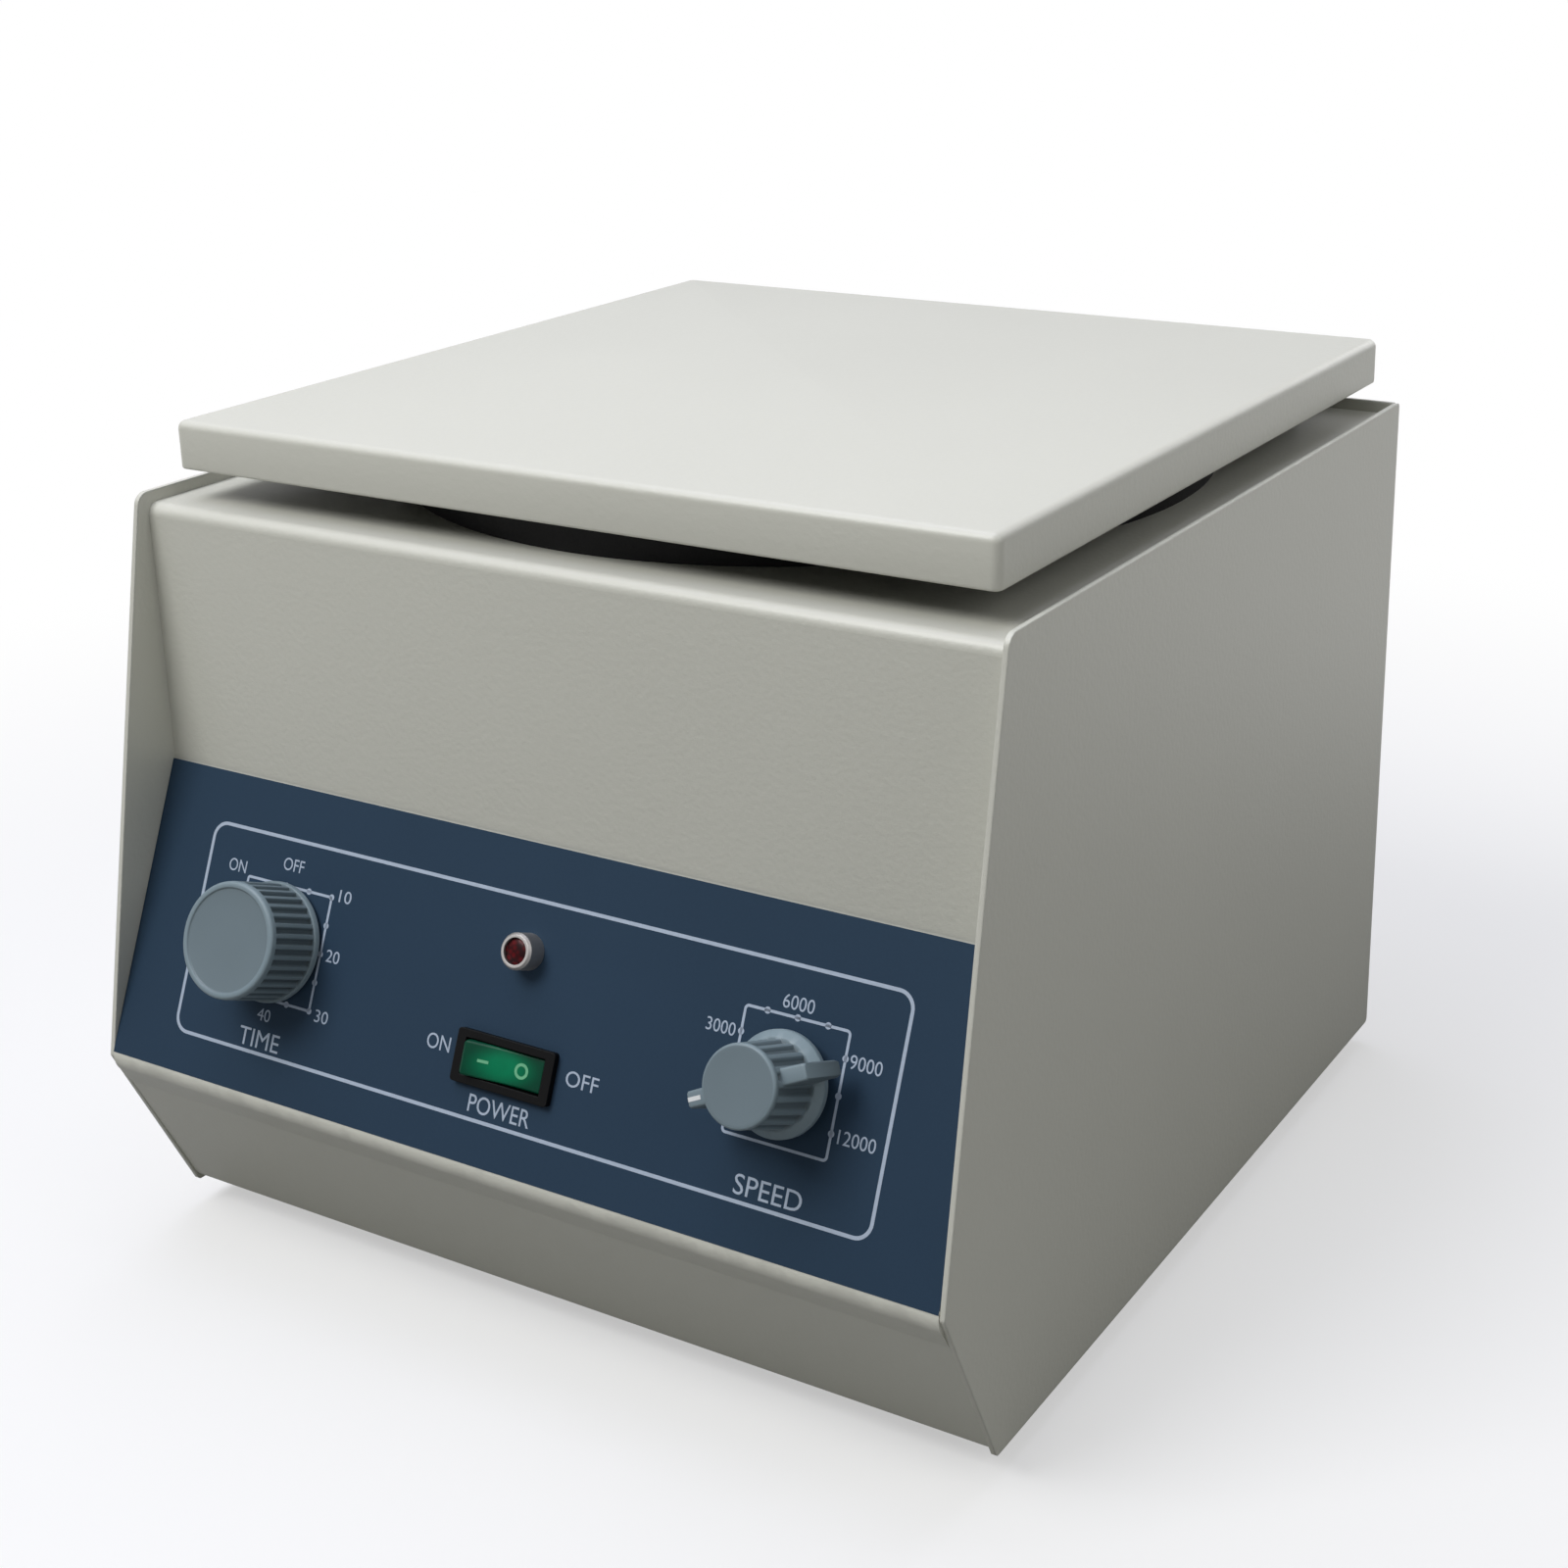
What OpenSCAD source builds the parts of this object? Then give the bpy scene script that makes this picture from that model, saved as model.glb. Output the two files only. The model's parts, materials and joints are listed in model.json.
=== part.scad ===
// Bench-top capillary centrifuge: a folded sheet case with a hinged lid, a motor-driven
// rotor head in a round chamber, and a sloped control panel with two knobs and a rocker.
// The case frame has X across, Y = 0 at the rear face with the front towards -Y, and Z = 0
// at the lower edge of the side plates. The finished part stands on its rubber feet at Z = 0.

/* [Case] */
// Width over the two side plates
case_w = 280; // [262:1:320]
// Height of the side plates
case_h = 218; // [214:1:240]
// Thickness of the case sheets
sheet_t = 1.5; // [1.2:0.1:2]
// Depth of the side plates along their top edge
top_depth = 270; // [268:1:290]
// Depth of the side plates at the chin
chin_depth = 303; // [292:1:320]
// Height of the chin
chin_h = 55; // [46:1:60]
// Depth of the side plates along their lower edge
toe_depth = 276; // [268:1:290]
// Depth of the upright front sheet
front_depth = 267; // [260:1:269]
// Height of the fold above the control panel
fold_h = 137; // [130:1:150]
// Step from the top of the side plates down to the top sheet
top_drop = 3.5; // [3:0.5:9]
// Outside radius of the fold between front and top
top_fold_r = 3.5; // [3:0.5:10]
// Outside radius of the folds at the control panel
panel_fold_r = 3; // [2.4:0.2:5]
// Radius of the front top corner of a side plate
plate_r = 4; // [3:0.5:14]
// Width of the inward flanges
flange_w = 14; // [10:1:18]

/* [Lid] */
// Width of the lid
lid_w = 264; // [250:1:276]
// Distance from the rear face to the front edge of the lid
lid_depth = 260; // [256:1:264]
// Height of the lid's edge
lid_h = 14; // [12:0.5:20]
// Gap between the side plates and the lid
lid_gap = 6; // [5:0.5:10]
// Radius along the lid's top edges
lid_edge_r = 2; // [1.6:0.1:3]
// Distance of the liner above the lid's lower edge
liner_inset = 2; // [1:0.5:4]
// Height of the liner's edge
liner_edge = 9; // [8:0.5:10]

/* [Hinges] */
// Distance between the two hinges
hinge_span = 170; // [120:2:200]
// Length of a hinge
hinge_w = 42; // [30:1:60]
// Radius of the hinge knuckles
knuckle_r = 3; // [2.6:0.1:3.2]
// Radius of the hinge pins
hinge_pin_r = 1.5; // [1:0.1:1.8]
// Thickness of the hinge leaves
leaf_t = 1.5; // [1:0.1:1.8]
// Height of a leaf on the case
case_leaf_h = 22; // [18:1:30]

/* [Chamber] */
// Distance of the rotor axis from the rear face
axis_depth = 130; // [128:1:132]
// Radius of the opening in the top sheet
opening_r = 118; // [117:0.5:120]
// Inside radius of the chamber bowl
bowl_r = 113; // [108:0.5:115]
// Wall thickness of the chamber bowl
bowl_t = 1.2; // [0.8:0.1:1.6]
// Height of the chamber floor
floor_z = 138; // [136:1:142]
// Radius between the chamber's floor and wall
bowl_corner_r = 12; // [6:1:16]
// Outside radius of the sealing ring
seal_r = 122; // [121:0.5:124]
// Width of the sealing ring's lip
seal_lip = 4.5; // [3:0.5:5]

/* [Motor] */
// Radius of the motor housing
motor_r = 44; // [40:0.5:48]
// Height of the motor housing
motor_h = 94; // [88:1:98]
// Wall thickness of the motor housing
motor_wall = 3; // [2:0.5:4]
// Height of the upper end cap
end_cap_h = 14; // [12:0.5:15]
// Radius of the armature
armature_r = 24; // [20:0.5:27]
// Length of the armature core
armature_h = 44; // [36:1:48]
// Radius of the commutator
commutator_r = 13; // [11:0.5:15]
// Radius of the motor shaft
shaft_r = 5; // [4:0.5:6]
// Outside radius of the ball bearings
bearing_r = 13; // [11:0.5:14]
// Width of the ball bearings
bearing_h = 8; // [6:0.5:9]
// Side of the square motor plate
mount_side = 120; // [110:1:130]
// Thickness of the motor plate
mount_t = 4; // [3:0.5:6]
// Radius of the rubber dampers
damper_r = 11; // [9:0.5:13]
// Height of the rubber dampers
damper_h = 18.5; // [16:0.5:20]

/* [Rotor head] */
// Radius of the rotor head
rotor_r = 95; // [90:0.5:100]
// Number of capillary slots
slot_count = 24; // [12:2:36]
// Width and depth of a capillary slot
slot_w = 2.2; // [1.6:0.1:2.6]
// Height of the rotor head's underside above the chamber floor
rotor_lift = 22; // [19:1:26]
// Thickness of the rotor head's web
rotor_web = 4; // [3:0.5:6]
// Thickness of the slotted platform
platform_h = 5; // [4:0.5:7]
// Height of the rim above the platform
rim_rise = 2.5; // [2:0.5:4]
// Width of the rim
rim_t = 4; // [3:0.5:6]
// Width of the rubber ring inside the rim
rim_seal_t = 3; // [2:0.5:4]
// Thickness of the rotor cover
cover_t = 2.5; // [2:0.5:4]
// Radius of the clamping knob on the cover
clamp_r = 15; // [12:0.5:18]
// Height of the clamping knob
clamp_h = 17; // [14:0.5:20]

/* [Control panel] */
// Thickness of the printed panel overlay
overlay_t = 0.8; // [0.5:0.1:1.2]
// Distance of each dial from its side of the case
dial_edge = 54; // [48:0.5:60]
// Height of the dials up the slope
dial_v = 45; // [42:0.5:48]
// Gap between knobs and overlay
knob_gap = 1; // [0.6:0.1:2]
// Radius of the control shafts
spindle_r = 3; // [2.5:0.1:3.2]
// Radius of the threaded bushes
bush_r = 4.75; // [4.4:0.05:5]
// Length of the bushes in front of the overlay
bush_out = 4; // [3.5:0.5:6]
// Thickness of the bush nuts
bush_nut_t = 2.2; // [1.8:0.1:3]

/* [Timer] */
// Radius of the timer knob
time_knob_r = 16.6; // [15:0.1:18]
// Height of the timer knob's face above the overlay
time_knob_h = 20; // [18:0.5:22]
// Number of flutes on the timer knob
flute_count = 34; // [28:2:48]
// Depth of a flute
flute_depth = 0.9; // [0.6:0.05:1.1]
// Reach of the foot ring beyond the flutes
foot_ring = 0.6; // [0.4:0.1:1]
// Height of the foot ring
foot_ring_h = 2; // [1.5:0.1:3]
// Side of the timer's square body
timer_side = 42; // [36:1:46]
// Depth of the timer's body
timer_depth = 34; // [28:1:40]

/* [Speed control] */
// Radius of the speed knob's cap
speed_knob_r = 10.6; // [9.5:0.1:12]
// Height of the speed knob's face above the overlay
speed_knob_h = 24; // [20:0.5:26]
// Radius of the speed knob's skirt
skirt_r = 13.6; // [13:0.1:15]
// Gap between the skirt and the overlay
skirt_gap = 3; // [1:0.2:3.6]
// Thickness of the skirt
skirt_h = 4; // [3.5:0.1:6]
// Reach of the pointer's wings from the knob's axis
wing_reach = 22.6; // [20:0.2:24]
// Width of the wings
wing_w = 4; // [3.5:0.1:5]
// Height of the wings' crest above the skirt
wing_rise = 9; // [7.5:0.1:11]
// Fall of the crest from the cap to the tips
wing_fall = 3; // [2:0.1:4]
// Direction of the pointer at the low stop, from the panel's +X
pointer_rest = 205; // [195:1:225]
// Radius of the potentiometer
pot_r = 12; // [10.5:0.5:14]
// Thickness of the potentiometer
pot_depth = 11; // [9:0.5:14]

/* [Power switch] */
// Place of the switch across the panel
switch_x = 1; // [-5:0.5:5]
// Height of the switch up the slope
switch_v = 29.5; // [27:0.5:32]
// Width of the switch bezel
bezel_w = 32.4; // [30:0.1:36]
// Height of the switch bezel
bezel_h = 14.4; // [13.6:0.1:16]
// Thickness of the switch bezel
bezel_t = 2; // [1.6:0.1:3]
// Length of the rocker
rocker_w = 25; // [23:0.1:26]
// Width of the rocker
rocker_h = 9.4; // [8:0.1:9.8]
// Tilt of the rocker to either side of the middle
rocker_tilt = 9; // [6:0.5:11]
// Depth of the switch body behind the panel
switch_depth = 22; // [18:1:26]

/* [Pilot lamp] */
// Place of the lamp across the panel
lamp_x = 1; // [-5:0.5:5]
// Height of the lamp up the slope
lamp_v = 60.5; // [58:0.5:64]
// Radius of the lamp's bezel
lamp_r = 5; // [4.6:0.1:6]
// Reach of the bezel in front of the overlay
lamp_out = 6.5; // [5:0.5:8]
// Radius of the lens
lens_r = 3.6; // [3:0.1:3.8]

/* [Rear panel] */
// Place of the mains inlet across the rear
inlet_x = 92; // [80:1:98]
// Height of the mains inlet
inlet_z = 42; // [36:1:60]
// Width of the inlet's flange
inlet_w = 50; // [48:0.5:54]
// Height of the inlet's flange
inlet_h = 24; // [22.6:0.2:28]
// Distance of the fuse holder from the inlet
fuse_offset = 46; // [42:1:60]
// Radius of the fuse holder's cap
fuse_r = 8.5; // [7.5:0.1:10]
// Reach of the fuse cap behind the rear face
fuse_out = 9; // [7:0.5:11]
// Length of the fuse barrel inside the rear panel
fuse_depth = 30; // [26:0.5:36]
// Number of cooling slots in the rear panel
vent_count = 11; // [7:2:13]
// Height of a cooling slot
vent_h = 46; // [30:1:60]
// Width of a cooling slot
vent_w = 4; // [3:0.5:5]
// Spacing of the cooling slots
vent_pitch = 9; // [8:0.5:10]
// Height of the middle of the cooling slots
vent_z = 84; // [70:1:100]

/* [Feet and fasteners] */
// Height of the rubber feet
foot_h = 8; // [6:0.5:12]
// Radius of the rubber feet
foot_r = 11; // [9:0.5:14]
// Distance of the feet from the sides
foot_inset_x = 36; // [30:1:44]
// Distance of the feet from the front and rear edges
foot_inset_y = 42; // [38:1:50]
// Radius of the screw shanks
screw_r = 1.5; // [1.3:0.1:1.8]
// Radius of the screw heads
head_r = 3; // [2.6:0.1:3.4]
// Height of the screw heads
head_h = 1.8; // [1.4:0.1:2.2]

/* [Control board] */
// Length of the control board
board_l = 96; // [80:1:100]
// Width of the control board
board_w = 60; // [50:1:64]
// Thickness of the control board
board_t = 1.6; // [1.2:0.2:2]
// Height of the standoffs
standoff_h = 10; // [8:0.5:14]
// Distance of the board's middle from the rear face
board_y = 120; // [110:1:140]
// Length of the heat sink
sink_l = 40; // [30:0.5:50]
// Height of the heat sink's fins
sink_h = 28; // [20:0.1:36]
// Spacing of the fins
fin_pitch = 5; // [4:0.05:6]

/* [Fits] */
// Radial clearance of running shafts
run_fit = 0.05; // [0.02:0.01:0.1]
// Clearance of screws and cut-outs
slip_fit = 0.15; // [0.1:0.05:0.25]
// Clearance between pieces that must never rub
air_gap = 0.3; // [0.25:0.05:0.5]

/* [Hidden] */
$fn = 96;

paint = [0.72, 0.73, 0.69];
bright = [0.78, 0.79, 0.80];
black = [0.07, 0.07, 0.08];
navy = [0.13, 0.18, 0.27];
knob_grey = [0.42, 0.47, 0.48];

// Case heights and the control panel's slope
inner_w = case_w - 2 * sheet_t;
top_z = case_h - top_drop;
slope = atan2(chin_depth - front_depth, fold_h - chin_h);
panel_len = norm([chin_depth - front_depth, fold_h - chin_h]);
lid_z = case_h + lid_gap;
liner_z = lid_z + liner_inset;
hinge_z = case_h + lid_gap / 2;
hinge_y = knuckle_r;
knuckle_w = hinge_w / 3;
knuckle_gap = air_gap / 2;

// Heights along the rotor axis
plate_z = sheet_t + damper_h;
motor_z = plate_z + mount_t;
cap_z = motor_z + motor_h;
cap_top = cap_z + end_cap_h;
lower_bearing_z = motor_z + motor_wall;
upper_bearing_z = cap_top - bearing_h - motor_wall;
bore_r = shaft_r + run_fit;
brush_w = 9;
brush_z = lower_bearing_z + bearing_h + brush_w / 2 + 2;
winding_h = 8;
core_z = brush_z + brush_w / 2 + 2 + winding_h + armature_h / 2;
seal_bore_r = shaft_r + 7;
head_z = floor_z + rotor_lift;
platform_z = head_z + rotor_web;
platform_top = platform_z + platform_h;
rim_z = platform_top + rim_rise;
cover_top = rim_z + cover_t;
hub_r = clamp_r;
thread_r = shaft_r - 1;
hub_drop = 7;
shaft_top = cover_top + clamp_h - 4;

// Control stack heights above the panel's outer face
face = overlay_t;
dial_x = case_w / 2 - dial_edge;
knob_foot = face + knob_gap;
skirt_foot = face + skirt_gap;
skirt_top = skirt_foot + skirt_h;
time_top = face + time_knob_h;
speed_top = face + speed_knob_h;
spindle_in = 10;
spindle_play = 0.5;
knob_wall = 3;
knob_bevel = 1.2;
time_face_r = time_knob_r - 2 * knob_bevel;
speed_face_r = speed_knob_r - knob_bevel;

// Lamp neck and mains inlet sizes behind their flanges
lamp_neck_r = lens_r + 0.6;
lamp_neck = 12;
inlet_body_w = 28;
inlet_body_h = 20.4;
inlet_depth = 20;
inlet_flange_t = 3;
inlet_wall = 3;
socket_w = 24.2;
socket_h = 16.4;

// Switch sizes
rocker_end = 3.6;
rocker_pin_r = 1.2;
window_w = norm([rocker_w, 2 * rocker_end]) + 2 * air_gap;
window_h = rocker_h + 2 * air_gap;
switch_wall = 1;
switch_body_w = window_w + 2 * switch_wall;
switch_body_h = window_h + 2 * switch_wall;

// Reach of the whole part in front of and behind the rear face
function knob_reach(top, r) = chin_depth - dial_v * sin(slope) + top * cos(slope) + r * sin(slope);
front_reach = max(chin_depth, knob_reach(time_top, time_face_r), knob_reach(speed_top, speed_face_r));
rear_reach = max(2 * knuckle_r, fuse_out);
centre_shift = (front_reach - rear_reach) / 2;

function unit(v) = v / norm(v);
function wrapped(list, i) = list[(i + len(list)) % len(list)];
function turn_angle(a, b) = acos(min(1, a * b));

// Moves from the case frame to the standing frame
module standing() translate([0, centre_shift, foot_h]) children();

// Puts a shape on the control panel: X across, Y up the slope, Z out of the panel's outer face
module on_panel(x, v) {
    standing() translate([x, -chin_depth, chin_h]) rotate([90 - slope, 0, 0]) translate([0, v, 0])
        children();
}

// Puts a shape on the rotor axis
module on_axis(z) standing() translate([0, -axis_depth, z]) children();

// Extrudes an outline in the Y-Z plane along X, centred
module along_x(width) rotate([90, 0, 90]) linear_extrude(width, center = true) children();

// Extrudes an outline in the X-Z plane towards +Y from zero
module along_y(depth) rotate([90, 0, 180]) mirror([1, 0, 0]) linear_extrude(depth) children();

// Ring or tube along Z
module tube(outer, inner, height) {
    difference() {
        cylinder(r = outer, h = height);
        translate([0, 0, -1]) cylinder(r = inner, h = height + 2);
    }
}

// Rectangle with rounded corners, centred
module rounded_box(w, h, r) {
    square([w - 2 * r, h], center = true);
    square([w, h - 2 * r], center = true);
    for (x = [-1, 1], y = [-1, 1]) translate([x * (w / 2 - r), y * (h / 2 - r)]) circle(r);
}

// Convex outline whose corners have their own radii
module rounded_outline(points, radii) {
    ends = [for (i = [0 : len(points) - 1])
        let (p = points[i],
            before = unit(wrapped(points, i - 1) - p),
            after = unit(wrapped(points, i + 1) - p),
            cut = radii[i] / tan(turn_angle(before, after) / 2))
        each cut > 0 ? [p + before * cut, p + after * cut] : [p]];
    polygon(ends);
    for (i = [0 : len(points) - 1]) {
        p = points[i];
        before = unit(wrapped(points, i - 1) - p);
        after = unit(wrapped(points, i + 1) - p);
        out = radii[i] / sin(turn_angle(before, after) / 2);
        if (radii[i] > 0) translate(p + unit(before + after) * out) circle(radii[i]);
    }
}

// Length that a fold takes from each of the two straights it joins, on the sheet's outer face
function fold_face_r(a, b, r) = cross(a, b) < 0 ? r : r - sheet_t;
function fold_cut(path, radii, i) =
    i == 0 || i == len(path) - 1 ? 0
    : let (a = unit(path[i] - path[i - 1]), b = unit(path[i + 1] - path[i]))
        fold_face_r(a, b, radii[i]) * tan(turn_angle(a, b) / 2);

// One fold of a sheet: the part of a ring between the ends of its two straights
module sheet_fold(path, radii, i) {
    a = unit(path[i] - path[i - 1]);
    b = unit(path[i + 1] - path[i]);
    r = radii[i];
    inward = cross(a, b) < 0 ? [a[1], -a[0]] : [-a[1], a[0]];
    start = path[i] - a * fold_cut(path, radii, i);
    end = path[i] + b * fold_cut(path, radii, i);
    middle = start + inward * fold_face_r(a, b, r);
    from = unit(start - middle);
    to = unit(end - middle);
    translate(middle) intersection() {
        difference() {
            circle(r);
            circle(r - sheet_t);
        }
        polygon([[0, 0], 2 * r * from, 2 * r * unit(from + to), 2 * r * to]);
    }
}

// Cross-section of a folded sheet: the path runs along its outer face, the sheet lies to its right
module folded_sheet(path, radii) {
    for (i = [0 : len(path) - 2]) {
        d = unit(path[i + 1] - path[i]);
        a = path[i] + d * fold_cut(path, radii, i);
        b = path[i + 1] - d * fold_cut(path, radii, i + 1);
        side = [d[1], -d[0]] * sheet_t;
        polygon([a, b, b + side, a + side]);
    }
    for (i = [1 : len(path) - 2]) sheet_fold(path, radii, i);
}

// Screw along Z with its head's seat at zero and its shank downwards
module screw(shank_r, cap_r, cap_h, length) {
    cylinder(r = cap_r, h = cap_h);
    translate([0, 0, -length]) cylinder(r = shank_r, h = length);
}

// Outer face of the folded front and top sheet, and outline of a side plate, in the Y-Z plane
cover_path = [[-toe_depth + flange_w, sheet_t], [-toe_depth, sheet_t], [-chin_depth, chin_h],
    [-front_depth, fold_h], [-front_depth, top_z], [-sheet_t, top_z]];
cover_radii = [0, panel_fold_r, panel_fold_r, panel_fold_r, top_fold_r, 0];
panel_foot = fold_cut(cover_path, cover_radii, 2);
panel_head = panel_len - fold_cut(cover_path, cover_radii, 3);
plate_edge_r = 1.5;
plate_outline = [[-toe_depth, 0], [-chin_depth, chin_h], [-top_depth, case_h], [0, case_h], [0, 0]];
plate_radii = [plate_edge_r, plate_edge_r, plate_r, plate_edge_r, plate_edge_r];

// Places of the feet, of the screws in the bottom flanges and of those in the rear flanges
foot_places = [for (x = [-1, 1], y = [foot_inset_y, toe_depth - foot_inset_y])
    [x * (case_w / 2 - foot_inset_x), -y]];
flange_x = inner_w / 2 - flange_w / 2;
base_screw_end = 30;
base_screw_pitch = (toe_depth - flange_w - 2 * base_screw_end) / 3;
base_screw_places = [for (x = [-1, 1], k = [0 : 3]) [x * flange_x, -base_screw_end - k * base_screw_pitch]];
rear_screw_end = 20;
rear_screw_pitch = (top_z - 2 * rear_screw_end) / 2;
rear_screw_places = [for (x = [-1, 1], k = [0 : 2]) [x * flange_x, rear_screw_end + k * rear_screw_pitch]];
damper_places = [for (x = [-1, 1], y = [-1, 1]) [x, y] * (mount_side / 2 - damper_r - 1)];
board_x = inner_w / 2 - flange_w - board_w / 2 - air_gap;
board_edge = 5;
board_z = sheet_t + standoff_h;
small_head_r = head_r - 0.4;
small_head_h = head_h - 0.6;
board_places = [for (x = [-1, 1], y = [-1, 1])
    [board_x + x * (board_w / 2 - board_edge), -board_y + y * (board_l / 2 - board_edge)]];
inlet_screw_x = inlet_w / 2 - 5;
hinge_screw_x = hinge_w / 2 - 7;
case_leaf_screw_z = -case_leaf_h * 0.62;
lid_leaf_h = lid_h + lid_gap / 2 - lid_edge_r;
lid_leaf_screw_z = lid_gap / 2 + lid_h / 2;

// Side plate with its sloped front edge and two inward flanges, apart at their corner
module side_plate() {
    flange_len = toe_depth - flange_w - 4 * sheet_t;
    difference() {
        union() {
            translate([(case_w - sheet_t) / 2, 0, 0]) along_x(sheet_t)
                rounded_outline(plate_outline, plate_radii);
            translate([inner_w / 2 - flange_w, -flange_len - 3 * sheet_t, sheet_t])
                cube([flange_w + sheet_t / 2, flange_len, sheet_t]);
            translate([inner_w / 2 - flange_w, -2 * sheet_t, 2 * sheet_t])
                cube([flange_w + sheet_t / 2, sheet_t, top_z - 4 * sheet_t]);
        }
        for (p = base_screw_places) translate([p[0], p[1], 0])
            cylinder(r = screw_r + slip_fit, h = 3 * sheet_t);
        for (p = rear_screw_places) translate([p[0], -3 * sheet_t, p[1]]) rotate([-90, 0, 0])
            cylinder(r = screw_r + slip_fit, h = 3 * sheet_t);
    }
}

module right_side_plate() color(paint) standing() side_plate();

module left_side_plate() color(paint) standing() mirror([1, 0, 0]) side_plate();

// Holes that the controls need through the panel sheet and the overlay
module panel_holes() {
    reach = 4 * (sheet_t + overlay_t);
    for (x = [-dial_x, dial_x]) on_panel(x, dial_v)
        cylinder(r = bush_r + slip_fit, h = reach, center = true);
    on_panel(lamp_x, lamp_v) cylinder(r = lamp_neck_r + slip_fit, h = reach, center = true);
    on_panel(switch_x, switch_v)
        cube([switch_body_w + 2 * slip_fit, switch_body_h + 2 * slip_fit, reach], center = true);
}

// One folded sheet: bottom flange, chin, control panel, upright front and top with its round opening
module front_top_cover() {
    color(paint) difference() {
        standing() along_x(inner_w) folded_sheet(cover_path, cover_radii);
        on_axis(top_z - 2 * sheet_t) cylinder(r = opening_r, h = 4 * sheet_t);
        panel_holes();
    }
}

// Slot with round ends, upright
module vent_slot(w, h) {
    square([w, h - w], center = true);
    for (side = [-1, 1]) translate([0, side * (h - w) / 2]) circle(w / 2);
}

// Rear sheet with cooling slots and the openings for inlet, fuse and screws
module rear_panel() {
    color(paint) standing() translate([0, -sheet_t, 0]) along_y(sheet_t) difference() {
        translate([-inner_w / 2, 0]) square([inner_w, case_h]);
        for (k = [0 : vent_count - 1])
            translate([(k - (vent_count - 1) / 2) * vent_pitch - inlet_x / 2, vent_z])
                vent_slot(vent_w, vent_h);
        translate([inlet_x, inlet_z])
            square([inlet_body_w + 2 * slip_fit, inlet_body_h + 2 * slip_fit], center = true);
        for (side = [-1, 1]) translate([inlet_x + side * inlet_screw_x, inlet_z]) circle(screw_r + slip_fit);
        translate([inlet_x, inlet_z + fuse_offset]) circle(fuse_r - 2 + slip_fit);
        for (p = rear_screw_places) translate(p) circle(screw_r + slip_fit);
        for (side = [-1, 1], k = [-1, 1])
            translate([side * hinge_span / 2 + k * hinge_screw_x, hinge_z + case_leaf_screw_z])
                circle(screw_r + slip_fit);
    }
}

// Flat bottom sheet with cooling slots under the motor
module base_plate() {
    depth = toe_depth - panel_fold_r - sheet_t;
    color(paint) standing() linear_extrude(sheet_t) difference() {
        translate([-inner_w / 2, -depth - sheet_t]) square([inner_w, depth]);
        for (p = concat(foot_places, base_screw_places, board_places))
            translate(p) circle(screw_r + slip_fit);
        for (p = damper_places) translate(p - [0, axis_depth]) circle(screw_r + slip_fit);
        for (k = [-3 : 3]) translate([k * vent_pitch, -axis_depth]) vent_slot(vent_w, vent_h);
    }
}

// Printed panel skin that covers the slope between its folds
module control_overlay() {
    color(navy) difference() {
        on_panel(0, (panel_foot + panel_head) / 2) translate([0, 0, face / 2])
            cube([inner_w - 2 * slip_fit, panel_head - panel_foot, face], center = true);
        panel_holes();
    }
}

// Rubber feet: tapered, with a well for the screw
module rubber_feet() {
    well_r = head_r + 1;
    color(black) standing() for (p = foot_places) translate([p[0], p[1], -foot_h]) difference() {
        rotate_extrude() polygon([[0, 0], [foot_r - 1.5, 0], [foot_r, foot_h], [0, foot_h]]);
        translate([0, 0, -1]) cylinder(r = well_r, h = foot_h / 2 + 1);
        cylinder(r = screw_r + slip_fit, h = foot_h + 1);
    }
}

module foot_screws() {
    color(bright) standing() for (p = foot_places) translate([p[0], p[1], -foot_h / 2]) mirror([0, 0, 1])
        screw(screw_r, head_r, head_h, foot_h / 2 + 4 * sheet_t);
}

module base_screws() {
    color(bright) standing() for (p = base_screw_places) translate([p[0], p[1], 0]) mirror([0, 0, 1])
        screw(screw_r, head_r, head_h, 4 * sheet_t);
}

module rear_screws() {
    color(bright) standing() for (p = rear_screw_places) translate([p[0], 0, p[1]]) rotate([-90, 0, 0])
        screw(screw_r, head_r, head_h, 4 * sheet_t);
}

// Spun bowl: floor, round corner, wall and a flange under the top sheet
module chamber_bowl() {
    flange_z = top_z - sheet_t - floor_z;
    flange_r = opening_r + 10;
    outer = bowl_r + bowl_t;
    color([0.55, 0.56, 0.56]) on_axis(floor_z) rotate_extrude() difference() {
        union() {
            translate([seal_bore_r, 0]) square([outer - bowl_corner_r - seal_bore_r, bowl_t]);
            translate([bowl_r, bowl_corner_r]) square([bowl_t, flange_z - bowl_corner_r]);
            translate([bowl_r, flange_z - bowl_t]) square([flange_r - bowl_r, bowl_t]);
            translate([outer - bowl_corner_r, bowl_corner_r]) intersection() {
                difference() {
                    circle(bowl_corner_r);
                    circle(bowl_corner_r - bowl_t);
                }
                translate([0, -bowl_corner_r]) square(bowl_corner_r);
            }
        }
        square([seal_bore_r, flange_z]);
    }
}

// Rubber ring round the chamber's mouth: foot on the top sheet and a tall rounded lip up to the liner
module chamber_seal() {
    top = liner_z - air_gap - top_z;
    color(black) on_axis(top_z) rotate_extrude() {
        translate([seal_r - seal_lip, 0]) square([seal_lip, top - seal_lip / 2]);
        translate([seal_r - seal_lip / 2, top - seal_lip / 2]) circle(seal_lip / 2);
        translate([bowl_r, 0]) square([seal_r - bowl_r, 2.5]);
        translate([bowl_r, -sheet_t]) square([opening_r - slip_fit - bowl_r, sheet_t + 1]);
    }
}

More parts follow.
